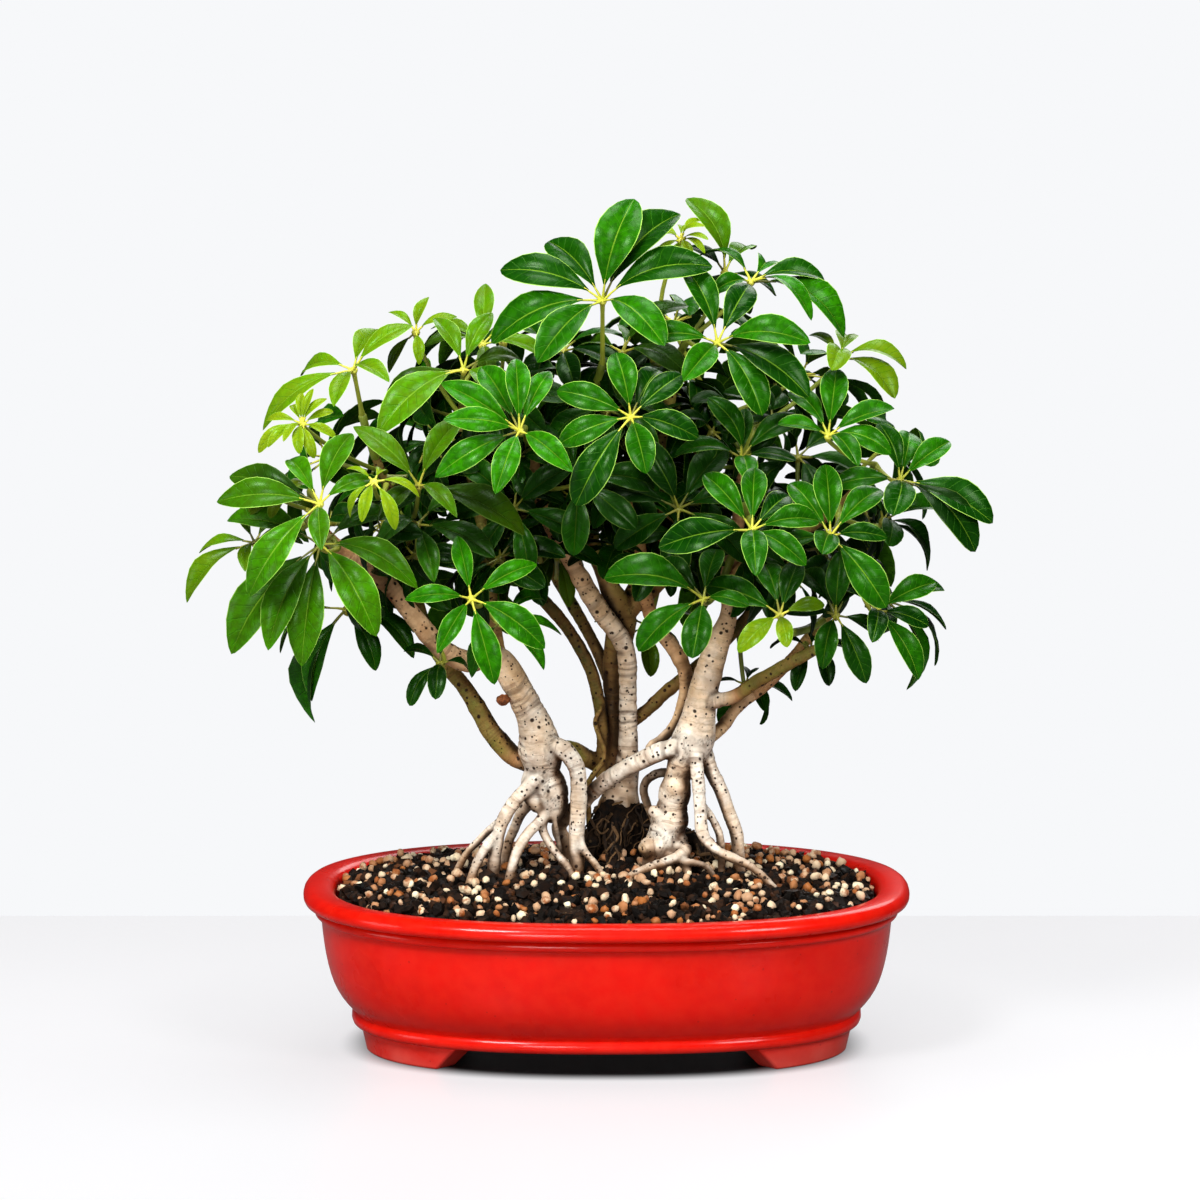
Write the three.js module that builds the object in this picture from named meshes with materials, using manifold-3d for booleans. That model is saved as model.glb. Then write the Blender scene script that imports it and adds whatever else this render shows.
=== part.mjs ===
// Umbrella tree bonsai: three dwarf umbrella trees with prop roots in a red glazed oval pot.
// Millimetres, +Z up, the pot's long side along X, the front at -Y.
import * as THREE from "three";
import Module from "manifold-3d";

const wasm = await Module();
wasm.setup();

// Pot, a 12 inch oval
const POT_HALF_WIDTH = 152;
const POT_HALF_DEPTH = 112;
const POT_HEIGHT = 82;
const POT_SQUARENESS = 2.4;
const POT_SIDES = 24;
const FOOT_HEIGHT = 12;
const FLOOR_THICKNESS = 6;
const FLOOR_TOP = FOOT_HEIGHT + FLOOR_THICKNESS;
const DRAIN_RADIUS = 10;
const DRAIN_SIDES = 12;
const DRAIN_X = 62;
const SCREEN_SIDE = 32;
const SCREEN_THICKNESS = 1;
const SLOTS = 4;
const CLEARANCE = 0.35;

// Soil, a mound that stands higher than the lip in the middle
const SOIL_EDGE_HEIGHT = 77;
const SOIL_RISE = 13;
const SOIL_LUMP = 1.4;
const SOIL_WALL_GAP = 0.6;

// The trees are laid out as they are seen from the front, from a little above:
// x to the right, h up the picture, y away from the viewer.
const VIEW_TILT = THREE.MathUtils.degToRad(10.65);
const SIN = Math.sin(VIEW_TILT);
const COS = Math.cos(VIEW_TILT);

// Leaflets
const LEAF_WIDTH_RATIO = 0.47;
const LEAF_ARCH = 0.1;
const LEAF_THICKNESS = 1.2;
const STALK_SHARE = 0.15;
const STALK_RADIUS = 1.0;
const HUB_RADIUS = 2.2;
const HUB_DEPTH = 3.2;
const HUB_DOME = 0.6;
const PORT_DROP = 1.7;
const PORT_SHARE = 0.7;
const HUB_REACH = 8;
const STALK_SIDES = 4;
const PETIOLE_RADIUS = 1.25;
const SHOOT_RADIUS = 2.1;
const LEAF_GAP = LEAF_THICKNESS + CLEARANCE;

// Each limb is a list of [x, h, y, radius]. Prop roots end under the soil.
const LEFT_TREE = {
  main: [
    [-28, 113, -8, 6], [-28, 118, -8, 8.5], [-30, 127, -8, 9.7], [-31, 137, -8, 10.6],
    [-32, 147, -8, 11.1],
    [-37, 163, -8, 8.2], [-47, 183, -9, 6.8], [-53, 193, -10, 6.1], [-60, 194, -12, 5.7],
    [-70, 192, -14, 5.4], [-83, 199, -16, 5], [-96, 214, -19, 4.7], [-108, 229, -22, 4.4],
    [-121, 240, -25, 4.1], [-133, 248, -27, 3.8], [-143, 259, -28, 3.4], [-147, 272, -28, 3],
  ],
  second: [
    [-35, 140, -2, 4.5], [-47, 144, 1, 4.2], [-58, 156, 3, 4], [-63, 166, 5, 4], [-72, 180, 8, 3.9],
    [-83, 193, 11, 3.7], [-91, 210, 14, 3.4], [-96, 228, 16, 3.2], [-98, 243, 17, 3],
    [-101, 258, 18, 2.8],
    [-108, 275, 18, 2.6], [-116, 295, 16, 2.3],
  ],
  twig: [
    [-53, 191, -6, 4], [-55, 203, 2, 3.7], [-59, 232, 8, 3.5], [-63, 262, 12, 3.4], [-68, 288, 13, 3.1],
    [-71, 305, 13, 2.8], [-72, 322, 12, 2.4],
  ],
  bud: [[-46, 180, -11, 2], [-50, 176, -15, 2.6], [-53, 172, -17, 2.2]],
  rootFront: [
    [-32, 152, -12, 5], [-22, 148, -14, 4.7], [-16, 141, -15, 4.5], [-14, 134, -16, 4.3],
    [-14, 118, -16, 4.1],
    [-15, 105, -16, 4], [-15, 92, -16, 4], [-15, 78, -16, 3.6],
  ],
  rootLeft: [
    [-33, 135, -12, 5], [-39, 129, -15, 3.8], [-45, 123, -17, 3.5], [-51, 114, -18, 3.4],
    [-54, 105, -18, 3.3],
    [-56, 93, -18, 3.2], [-57, 78, -18, 3],
  ],
  rootFarLeft: [
    [-54, 106, -18, 2.6], [-58, 102, -20, 2.5], [-62, 96, -22, 2.5], [-66, 88, -24, 2.3],
    [-70, 74, -25, 2.2],
  ],
  rootOuter: [
    [-53, 112, -15, 2.3], [-58, 108, -13, 2.1], [-64, 102, -12, 2], [-71, 94, -11, 2],
    [-78, 80, -11, 1.9],
  ],
  rootBack: [
    [-34, 124, -2, 3.6], [-42, 117, 3, 2.8], [-46, 108, 6, 2.6], [-50, 98, 8, 2.5],
    [-53, 80, 9, 2.4],
  ],
  rootCross: [
    [-29, 117, -12, 3.6], [-34, 111, -17, 3], [-39, 106, -20, 2.9], [-45, 96, -22, 2.7],
    [-50, 76, -24, 2.5],
  ],
  rootInner: [
    [-30, 117, -12, 3.4], [-32, 108, -15, 2.4], [-26, 97, -19, 2.3], [-19, 88, -22, 2.2],
    [-14, 74, -24, 2],
  ],
  rootThin: [
    [-27, 120, -14, 2.2], [-26, 112, -14, 1.5], [-24, 101, -13, 1.4], [-23, 94, -13, 1.4],
    [-22, 80, -13, 1.3],
  ],
  rootSpur: [[-14, 104, -17, 2.4], [-11, 97, -20, 1.9], [-4, 88, -23, 1.8], [2, 74, -25, 1.7]],
};

const RIGHT_TREE = {
  main: [
    [27, 78, -5, 9.6], [27, 91, -5, 9.8], [28, 98, -5, 9.4], [29, 103, -5, 8.8], [31, 108, -5, 7.6],
    [32, 115, -5, 9], [36, 123, -5, 6.8], [36, 131, -6, 8.6], [38, 139, -6, 9.2], [41, 150, -5, 10.5],
    [45, 163, -4, 9], [47, 171, -4, 7.4], [51, 186, -4, 6.9], [55, 200, -3, 6.5], [61, 215, -2, 4.3],
    [61, 235, 0, 3.9], [63, 246, 2, 3.7], [66, 264, 4, 3.4], [68, 283, 5, 3.1], [69, 296, 5, 2.8],
  ],
  knob: [[36, 131, -6, 5], [35, 131, -12, 6.6], [34, 131, -15.5, 6.4]],
  bump: [[30, 114, -8, 5], [24, 116, -9, 4.4], [21, 116, -9, 3.4]],
  side: [
    [60, 222, -1, 3.6], [66, 237, -3, 3.2], [79, 246, -5, 3.1], [99, 257, -8, 2.9],
    [117, 270, -11, 2.6],
    [129, 283, -12, 2.3],
  ],
  cutBranch: [
    [52, 172, -7, 4], [63, 174, -11, 3.5], [74, 181, -14, 3.4], [88, 189, -16, 3.2],
    [105, 198, -18, 2.9],
  ],
  rear: [
    [48, 152, 0, 4], [57, 158, 8, 3.3], [66, 169, 13, 3.1], [79, 179, 16, 3], [92, 192, 18, 2.9],
    [104, 207, 18, 2.7], [117, 222, 17, 2.5], [124, 238, 15, 2.3],
  ],
  inner: [
    [36, 145, 0, 3.4], [24, 146, 8, 2.7], [22, 149, 10, 2.7], [29, 154, 11, 2.8],
    [36, 163, 12, 3.1], [40, 178, 13, 3.5],
    [39, 188, 13, 3.8], [33, 199, 14, 4], [24, 211, 15, 4], [19, 227, 13, 3.6], [17, 247, 10, 3.3],
    [15, 267, 5, 3], [13, 287, 0, 2.7],
  ],
  rootArch: [
    [38, 149, -9, 5.5], [30, 148, -10, 4.7], [15, 141, -7, 4.5], [4, 135, -4, 4.4], [-6, 127, -1, 4.3],
    [-12, 121, 1, 4.2], [-19, 115, 3, 4.1], [-24, 109, 4, 4], [-22, 103, 4, 4], [-19, 97, 4, 3.9],
    [-17, 78, 4, 3.6],
  ],
  rootRight: [
    [44, 152, -10, 4.2], [45, 141, -15, 3.6], [46, 130, -16, 3.4], [47, 117, -17, 3.2],
    [48, 106, -18, 3],
    [54, 98, -20, 2.7], [64, 93, -22, 2.4], [74, 88, -25, 2.1], [86, 76, -28, 1.8],
  ],
  rootOuter: [
    [48, 150, -5, 5], [52, 138, -6, 3.9], [57, 128, -7, 3.7], [61, 117, -8, 3.6], [65, 106, -8, 3.5],
    [66, 96, -8, 3.4], [67, 78, -8, 3.2],
  ],
  rootFront: [
    [34, 99, -10, 4.4], [40, 97, -16, 3.2], [31, 92, -22, 2.8], [20, 88, -26, 2.4],
    [10, 83, -29, 2], [1, 71, -31, 1.7],
  ],
  rootShort: [
    [47, 120, -15, 2.6], [51, 116, -13, 2.2], [55, 109, -13, 2.1], [57, 102, -13, 2.1],
    [58, 80, -13, 1.9],
  ],
};

const CENTRE_TREE = {
  main: [
    [6, 78, 24, 10], [7, 97, 24, 9.4], [8, 112, 24, 8.4], [8, 125, 24, 7.7], [12, 140, 24, 6.8],
    [10, 155, 24, 5.8], [10, 169, 23, 5.3], [10, 191, 22, 5.2], [7, 203, 22, 5.2], [-4, 218, 22, 5],
    [-11, 230, 22, 4.8], [-18, 243, 21, 4.5], [-25, 255, 20, 4.3], [-31, 267, 18, 4],
    [-35, 280, 15, 3.7],
    [-38, 300, 10, 3],
  ],
  back: [
    [6, 135, 27, 5], [3, 152, 34, 4.4], [3, 172, 37, 4.2], [3, 190, 38, 5], [7, 207, 38, 7.6],
    [6, 217, 38, 7.8],
    [1, 230, 37, 5.2], [-4, 243, 37, 4.2], [-8, 255, 36, 3.7], [-11, 267, 34, 3.4], [-12, 287, 30, 3.2],
    [-11, 308, 24, 2.9], [-8, 325, 16, 2.6],
  ],
  dark: [
    [6, 128, 28, 4], [-2, 134, 29, 3.4], [-2, 145, 29, 3.3], [-2, 157, 29, 3.4], [-4, 172, 30, 3.5],
    [-7, 185, 30, 3.5], [-12, 196, 31, 3.4], [-18, 206, 32, 3.3], [-24, 214, 33, 3.3],
    [-33, 224, 34, 3.2],
    [-42, 235, 35, 3.1], [-52, 250, 36, 2.8], [-57, 268, 37, 2.5],
  ],
  right: [
    [7, 213, 38, 5], [16, 222, 38, 4.8], [26, 232, 38, 4.9], [33, 243, 36, 5], [30, 258, 34, 5.2],
    [27, 283, 30, 4.7], [28, 302, 28, 3.8], [32, 325, 26, 3], [34, 345, 22, 2.5],
  ],
  lowRight: [
    [10, 160, 27, 3.8], [20, 167, 30, 3.4], [31, 177, 32, 3.3], [44, 188, 34, 3.2],
    [58, 200, 37, 3.1], [77, 222, 42, 2.8],
    [90, 242, 46, 2.6], [97, 262, 48, 2.4],
  ],
  farLeft: [
    [3, 180, 40, 4], [-6, 200, 48, 3.3], [-20, 225, 60, 3], [-36, 252, 70, 2.7],
    [-48, 278, 74, 2.4],
  ],
  farRight: [
    [8, 214, 44, 4], [14, 230, 54, 3.3], [26, 252, 66, 3], [38, 275, 74, 2.7], [46, 298, 76, 2.4],
  ],
};

const TREES = { left: LEFT_TREE, centre: CENTRE_TREE, right: RIGHT_TREE };
const THICK_LIMB = 6;
const THICK_SIDES = 8;
const THIN_SIDES = 5;

// Leafy shoots. from: tree, limb and share of its length. hub and facing of each umbrella, its leaflet
// tips as [x, h, y] from the hub, or reach, count and turn where it hides and its leaflets are even.
const FRONT = [0, -0.85, 0.53];
const FRONT_LEFT = [-0.25, -0.7, 0.67];
const FRONT_RIGHT = [0.25, -0.7, 0.67];
const UPWARD = [0, -0.35, 0.94];
const SHOOTS = [
  { name: "shoot_top", from: ["centre", "back", 0.99], fork: [-2, 340, 0],
    umbrellas: [
      { hub: [-2, 371, -35], facing: [0, -0.65, 0.76], tips: [
        [16, 50, 18], [-26, 31, 30], [-51, 15, 4], [-55, -22, -5], [-33, -35, -26], [31, -22, -36],
        [54, 19, 2],
        [38, 42, 27]] },
      { hub: [8, 346, 4], facing: UPWARD, tips: [
        [-32, -13, -14], [-22, -6, 30], [30, -8, -20], [36, 4, 18], [6, 4, 38]] }] },
  { name: "shoot_face_left", from: ["centre", "main", 0.99], fork: [-41, 308, -25],
    umbrellas: [
      { hub: [-43, 306, -85], facing: FRONT, tips: [
        [-2, 37, 18], [14, 31, 22], [-39, 24, 6], [-41, 2, -4], [-41, -23, -12], [-11, -31, -28],
        [25, -20, -28],
        [-20, 36, 24]] }] },
  { name: "shoot_face_right", from: ["right", "inner", 0.99], fork: [14, 300, -25],
    umbrellas: [
      { hub: [12, 313, -82], facing: FRONT, tips: [
        [-6, 31, 16], [14, 27, 18], [26, 22, 12], [33, -11, -12], [8, -27, -26], [-27, -44, -14],
        [-35, -13, -8],
        [-37, 11, 5]] }] },
  { name: "shoot_upper_right", from: ["centre", "right", 0.99], fork: [40, 352, 2],
    umbrellas: [
      { hub: [55, 350, -45], facing: FRONT_RIGHT, tips: [
        [-20, 36, 20], [15, 31, 24], [47, -3, -8], [45, -29, -14], [21, -36, -26], [-15, -18, -34]] },
      { hub: [59, 386, 14], facing: UPWARD, tips: [
        [-17, 38, 8], [14, 12, 26], [-20, 13, 12], [26, -12, 8], [-12, -16, -14]] },
      { hub: [72, 381, -8], facing: [0.4, -0.4, 0.82], tips: [
        [36, -1, 8], [50, -20, -8], [29, -18, -25], [8, 8, 28], [-20, -4, -14]] }] },
  { name: "shoot_upper_left", from: ["left", "second", 0.99], fork: [-122, 315, 4],
    umbrellas: [
      { hub: [-126, 337, -20], facing: [-0.15, -0.5, 0.85], tips: [
        [9, 25, 24], [-27, -2, 24], [-46, -29, -4], [-10, -18, -30], [18, -10, -28], [30, 22, 8]] }] },
  { name: "shoot_crown_left", from: ["left", "twig", 0.99], fork: [-73, 328, 0],
    umbrellas: [
      { hub: [-71, 337, -32], facing: [0.05, -0.55, 0.83], tips: [
        [-13, 29, 16], [14, 29, 14], [-40, -21, -6], [-42, -36, -22], [30, 4, 18], [20, -16, -30]] },
      { hub: [-62, 350, 8], facing: UPWARD, tips: [
        [2, 32, 22], [-24, 18, 12], [24, 14, 20], [-30, -4, -14], [34, -6, -4]], width: 0.6 }] },
  { name: "shoot_left_face", from: ["left", "main", 0.995], fork: [-147, 277, -45],
    umbrellas: [
      { hub: [-142, 270, -82], facing: [-0.1, -0.8, 0.59], tips: [
        [-15, 24, 24], [14, 36, 18], [-51, 3, 2], [-46, 14, 18], [-35, -46, -10], [1, -23, -32],
        [27, 13, 8]] }] },
  { name: "shoot_left_tip", from: ["left", "main", 0.965], fork: [-160, 254, -32],
    umbrellas: [
      { hub: [-175, 251, -42], facing: [-0.45, -0.4, 0.8], tips: [
        [-6, 19, 12], [-27, -8, 6], [-34, -30, -4], [-4, -14, -22], [18, 2, 24]] }] },
  { name: "shoot_left_low", from: ["left", "main", 0.93], fork: [-134, 248, -36],
    umbrellas: [
      { hub: [-142, 250, -62], facing: [-0.1, -0.6, 0.79], tips: [
        [-47, -52, -8], [-25, -54, -20], [-7, -60, -22], [26, -48, -22], [49, -23, -12]] }] },
  { name: "shoot_left_under", from: ["left", "main", 0.85], fork: [-120, 230, -14],
    umbrellas: [
      { hub: [-130, 218, -8], facing: [0, -0.3, 0.95], tips: [
        [16, -30, -14], [28, -32, -4], [36, -16, 8], [-18, -46, -8], [-18, -56, 6], [-34, -20, 14],
        [6, -12, 36]] }] },
  { name: "shoot_inner_left", from: ["left", "second", 0.86], fork: [-97, 262, -5],
    umbrellas: [
      { hub: [-93, 279, -72], facing: [0, -0.72, 0.69], tips: [
        [-33, 28, 14], [21, 36, 12], [54, -22, 2], [20, -14, -24], [-20, -16, -20]] }] },
  { name: "shoot_mid_left", from: ["left", "second", 0.72], fork: [-95, 246, -8],
    umbrellas: [
      { hub: [-94, 260, -48], facing: [0, -0.5, 0.87], tips: [
        [8, -29, -24], [37, -22, -16], [-18, -9, -30], [-38, -5, -4], [26, 12, 24]] }] },
  { name: "shoot_low_left_face", from: ["left", "twig", 0.35], fork: [-62, 220, -28],
    umbrellas: [
      { hub: [-67, 223, -82], facing: FRONT, tips: [
        [-7, 30, 18], [33, 17, 10], [-33, 0, -4], [-16, -27, -22], [11, -42, -16], [37, -23, -12]] },
      { hub: [-52, 212, -40], facing: [0, -0.4, 0.92], tips: [
        [21, -24, -10], [-15, -28, -12], [22, 6, 22], [30, -6, 6]] }] },
  { name: "shoot_twig_leaf", from: ["left", "main", 0.55], umbrellas: [
      { hub: [-83, 191, -34], facing: [0, -0.5, 0.87], tips: [
        [-16, -20, -10], [-2, -22, -16], [-18, 4, 12], [15, -4, 8], [2, 10, 18]], width: 0.4 }] },
  { name: "shoot_right_top", from: ["right", "main", 0.99], fork: [74, 308, -6],
    umbrellas: [
      { hub: [67, 293, -36], facing: [0, -0.5, 0.87], tips: [
        [2, 24, 14], [-25, 24, 10], [-33, 3, -4], [27, -1, -10], [30, 22, 12], [4, -12, -32]] },
      { hub: [116, 343, -16], facing: [0.2, -0.45, 0.87], tips: [
        [-15, 12, 8], [-4, -4, -32], [33, -9, -4], [28, -20, -16], [4, 12, 30]] }] },
  { name: "shoot_right_face", from: ["right", "main", 0.9], fork: [72, 262, -30],
    umbrellas: [
      { hub: [72, 257, -86], facing: FRONT, tips: [
        [-25, 28, 14], [1, 32, 22], [19, 18, 24], [33, 6, 6], [27, -15, -18], [2, -20, -36],
        [-46, -10, -4]] }] },
  { name: "shoot_right_end", from: ["right", "side", 0.99], fork: [134, 290, -14],
    umbrellas: [
      { hub: [146, 282, -30], facing: FRONT_RIGHT, tips: [
        [-12, 25, 18], [6, 28, 20], [25, 20, 14], [45, -24, -4], [37, -35, -16], [-2, -17, -34]] },
      { hub: [110, 304, -52], facing: [0.05, -0.65, 0.76], tips: [
        [5, 34, 18], [34, 10, 4], [-25, 5, -8], [15, -13, -28], [30, -4, -14], [-18, 24, 16]] }] },
  { name: "shoot_right_outer", from: ["right", "side", 0.8], fork: [116, 264, -28],
    umbrellas: [
      { hub: [111, 254, -66], facing: FRONT, tips: [
        [-1, 36, 14], [-20, 30, 14], [25, 27, 14], [28, 1, -4], [28, -35, -14], [-6, -8, -34]] },
      { hub: [138, 262, -16], facing: [0.5, -0.35, 0.79], tips: [
        [22, -14, -6], [24, -24, 6], [30, 0, 18], [4, -12, -30], [2, 6, 34]] }] },
  { name: "shoot_right_low_end", from: ["right", "rear", 0.99], fork: [124, 238, -8],
    umbrellas: [
      { hub: [134, 217, -52], facing: FRONT_RIGHT, tips: [
        [26, -8, -2], [22, -33, -12], [-3, -14, -26], [30, 12, 16]] },
      { hub: [140, 222, -4], facing: [0.6, -0.2, 0.77], tips: [
        [30, -14, -4], [26, -32, 6], [12, -44, -8], [28, 2, 20], [-2, 0, 34]] }] },
  { name: "shoot_right_shade", from: ["right", "rear", 0.86], fork: [112, 222, -10],
    umbrellas: [
      { hub: [114, 215, -50], facing: [0, -0.7, 0.71], tips: [
        [-17, 27, 14], [2, 32, 16], [18, 26, 16], [-8, -26, -18], [14, -34, -12], [-26, 2, -6]] }] },
  { name: "shoot_right_mid", from: ["right", "rear", 0.74], fork: [92, 206, -22],
    umbrellas: [
      { hub: [86, 215, -72], facing: [0.05, -0.8, 0.6], tips: [
        [-37, 16, 6], [9, 26, 18], [22, 6, 6], [-21, -18, -16], [3, -16, -20], [-8, 28, 20]] }] },
  { name: "shoot_right_inner", from: ["right", "main", 0.77], fork: [55, 226, -26],
    umbrellas: [
      { hub: [48, 223, -76], facing: [0, -0.72, 0.69], tips: [
        [-24, 18, 14], [-32, -26, -10], [-4, -29, -24], [-50, 8, 2], [6, 26, 20], [22, -4, -12]] }] },
  { name: "shoot_low_right", from: ["right", "rear", 0.62], umbrellas: [
      { hub: [102, 198, -4], facing: [0.1, -0.3, 0.95], tips: [
        [-8, -21, -12], [7, -22, -10], [24, -4, 10], [-20, 0, 14]], width: 0.42 }] },
  { name: "shoot_mid_low_right", from: ["centre", "lowRight", 0.55], umbrellas: [
      { hub: [70, 180, 38], facing: [0.1, -0.3, 0.95], tips: [
        [-11, -22, -8], [8, -20, 10], [24, -8, 4], [-20, -4, 16]], width: 0.42 }] },
  { name: "shoot_pale_left", from: ["centre", "farLeft", 0.55], umbrellas: [
      { hub: [-25, 246, 30], facing: UPWARD, tips: [
        [8, -27, -6], [-8, -20, -12], [24, -2, 10], [-26, 2, 8], [2, 6, 28]] }] },
  { name: "shoot_pale_mid", from: ["centre", "right", 0.2], umbrellas: [
      { hub: [20, 210, 62], facing: UPWARD, tips: [
        [2, -26, -10], [-12, -20, 6], [18, -22, 8], [-26, 2, 14], [26, 4, 14]] }] },
  { name: "shoot_core_left", from: ["left", "twig", 0.7], umbrellas: [
      { hub: [-46, 268, -22], facing: FRONT, reach: 42, count: 7, turn: 20 }] },
  { name: "shoot_core_mid", from: ["centre", "main", 0.9], umbrellas: [
      { hub: [-14, 282, -32], facing: FRONT, reach: 42, count: 7, turn: 50 }] },
  { name: "shoot_core_right", from: ["centre", "right", 0.62], umbrellas: [
      { hub: [36, 268, -26], facing: FRONT, reach: 44, count: 7, turn: 5 }] },
  { name: "shoot_core_far_left", from: ["left", "second", 0.9], umbrellas: [
      { hub: [-84, 302, 44], facing: [-0.1, -0.45, 0.89], reach: 42, count: 6, turn: 10 }] },
  { name: "shoot_core_far_right", from: ["right", "side", 0.55], umbrellas: [
      { hub: [96, 294, 26], facing: [0.1, -0.45, 0.89], reach: 42, count: 6, turn: 40 }] },
  { name: "shoot_core_low", from: ["centre", "lowRight", 0.8], umbrellas: [
      { hub: [92, 244, 4], facing: [0, -0.6, 0.8], reach: 40, count: 6, turn: 15 }] },
  { name: "shoot_back_left", from: ["centre", "farLeft", 0.99], fork: [-62, 296, 88],
    umbrellas: [
      { hub: [-96, 316, 96], facing: [-0.6, 0.45, 0.66], reach: 50, count: 7, turn: 10 },
      { hub: [-52, 352, 78], facing: [-0.15, 0.3, 0.94], reach: 48, count: 7, turn: 30 },
      { hub: [-44, 306, 128], facing: [-0.1, 0.85, 0.5], reach: 48, count: 7, turn: 0 }] },
  { name: "shoot_back_right", from: ["centre", "farRight", 0.99], fork: [60, 316, 88],
    umbrellas: [
      { hub: [98, 336, 84], facing: [0.6, 0.35, 0.72], reach: 48, count: 7, turn: 0 },
      { hub: [34, 362, 76], facing: [0, 0.3, 0.95], reach: 46, count: 7, turn: 15 },
      { hub: [50, 320, 128], facing: [0.1, 0.85, 0.5], reach: 48, count: 7, turn: 30 }] },
  { name: "shoot_back_far_left", from: ["centre", "dark", 0.99], fork: [-92, 282, 62],
    umbrellas: [
      { hub: [-140, 294, 52], facing: [-0.8, 0.3, 0.52], reach: 48, count: 7, turn: 20 },
      { hub: [-112, 262, 98], facing: [-0.5, 0.7, 0.5], reach: 46, count: 7, turn: 0 }] },
  { name: "shoot_back_far_right", from: ["centre", "lowRight", 0.99], fork: [112, 272, 60],
    umbrellas: [
      { hub: [140, 300, 50], facing: [0.75, 0.35, 0.56], reach: 46, count: 7, turn: 0 },
      { hub: [112, 262, 102], facing: [0.45, 0.75, 0.48], reach: 46, count: 7, turn: 25 }] },
  { name: "shoot_back_low_left", from: ["centre", "farLeft", 0.72], umbrellas: [
      { hub: [-64, 232, 112], facing: [-0.3, 0.85, 0.43], reach: 44, count: 7, turn: 12 }] },
  { name: "shoot_back_low_right", from: ["centre", "farRight", 0.6], umbrellas: [
      { hub: [54, 246, 116], facing: [0.2, 0.88, 0.43], reach: 44, count: 7, turn: 0 }] },
  { name: "shoot_back_mid", from: ["centre", "farRight", 0.4], umbrellas: [
      { hub: [-2, 276, 128], facing: [0, 0.9, 0.43], reach: 46, count: 7, turn: 8 }] },
  { name: "shoot_young_crown", young: true, from: ["centre", "right", 0.93], umbrellas: [
      { hub: [37, 402, 2], facing: UPWARD, tips: [
        [-13, 0, -5], [-4, -9, -14], [13, 3, -4], [11, -6, -12], [1, 6, 14]] }] },
  { name: "shoot_young_left", young: true, from: ["left", "twig", 0.93], umbrellas: [
      { hub: [-95, 356, -8], facing: UPWARD, tips: [
        [-14, 10, 8], [7, 16, 10], [19, 11, 0], [2, -17, -10], [-14, -20, -4]] }] },
  { name: "shoot_young_edge", young: true, from: ["left", "second", 0.95], umbrellas: [
      { hub: [-151, 310, -50], facing: FRONT_LEFT, tips: [
        [-5, 10, 8], [8, 13, 8], [-14, 1, 4], [-20, -12, -4], [6, -15, -10], [14, 5, 2],
        [-8, -10, -12]] }] },
  { name: "shoot_young_droop", young: true, from: ["left", "second", 0.91], umbrellas: [
      { hub: [-115, 281, -88], facing: [0, -0.5, 0.87], tips: [
        [-4, -24, -6], [9, -25, -6], [-13, -17, -2], [23, -6, 2], [-14, 5, 8]] }] },
  { name: "shoot_young_shade", young: true, from: ["left", "main", 0.98], umbrellas: [
      { hub: [-160, 273, -48], facing: FRONT_LEFT, tips: [
        [-4, -17, -8], [-17, -9, 2], [-12, 10, 10], [10, 8, 12]] }] },
];

const seen = ([x, h, y]) => new THREE.Vector3(x, y, (h - y * SIN) / COS);
const fraction = (v) => v - Math.floor(v);

// A fixed draw from 0 to 1 for each pair of numbers.
const DRAW = { seed: 127.1, step: 311.7, scale: 43758.5453 };
const scatter = (seed, k) => fraction(Math.sin(seed * DRAW.seed + k * DRAW.step) * DRAW.scale);
const mix = (a, b, t) => a + (b - a) * t;

function solid(points, faces) {
  const vertProperties = new Float32Array(points.flatMap((p) => [p.x, p.y, p.z]));
  const triVerts = new Uint32Array(faces.flat());
  return new wasm.Manifold(new wasm.Mesh({ numProp: 3, vertProperties, triVerts }));
}

function mesh(name, body, material) {
  const { vertProperties, triVerts } = body.getMesh();
  const geometry = new THREE.BufferGeometry()
    .setAttribute("position", new THREE.BufferAttribute(vertProperties, 3))
    .setIndex(new THREE.BufferAttribute(triVerts, 1));
  geometry.computeVertexNormals();
  const made = new THREE.Mesh(geometry, material);
  made.name = name;
  return made;
}

const join = (bodies) => bodies.reduce((all, body) => all.add(body));
const largest = (body) => body.decompose().sort((a, b) => b.volume() - a.volume())[0];

// A closed skin through rings of the same size, each counter-clockwise seen from where the skin goes.
function skin(rings) {
  const n = rings[0].length;
  const faces = [];
  for (let i = 1; i < n - 1; i++) {
    faces.push([0, i + 1, i]);
  }
  for (let k = 0; k < rings.length - 1; k++) {
    for (let i = 0; i < n; i++) {
      const j = (i + 1) % n;
      const [a, b] = [k * n, (k + 1) * n];
      faces.push([a + i, a + j, b + j], [a + i, b + j, b + i]);
    }
  }
  const top = (rings.length - 1) * n;
  for (let i = 1; i < n - 1; i++) {
    faces.push([top, top + i, top + i + 1]);
  }
  return solid(rings.flat(), faces);
}

// Rings round a path of points with a radius at each point. lastAlong sets which way the last ring faces.
function tubeRings(points, radii, sides, lastAlong) {
  const last = points.length - 1;
  let side = null;
  return points.map((p, k) => {
    const along = k === last && lastAlong
      ? lastAlong
      : points[Math.min(k + 1, last)].clone().sub(points[Math.max(k - 1, 0)]).normalize();
    if (!side) {
      side = Math.abs(along.x) < 0.8 ? new THREE.Vector3(1, 0, 0) : new THREE.Vector3(0, 1, 0);
    }
    side = side.clone().addScaledVector(along, -side.dot(along)).normalize();
    const other = along.clone().cross(side);
    return Array.from({ length: sides }, (_, i) => {
      const angle = (2 * Math.PI * i) / sides;
      return p.clone()
        .addScaledVector(side, Math.cos(angle) * radii[k])
        .addScaledVector(other, Math.sin(angle) * radii[k]);
    });
  });
}

const tube = (points, radii, sides) => skin(tubeRings(points, radii, sides));

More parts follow.
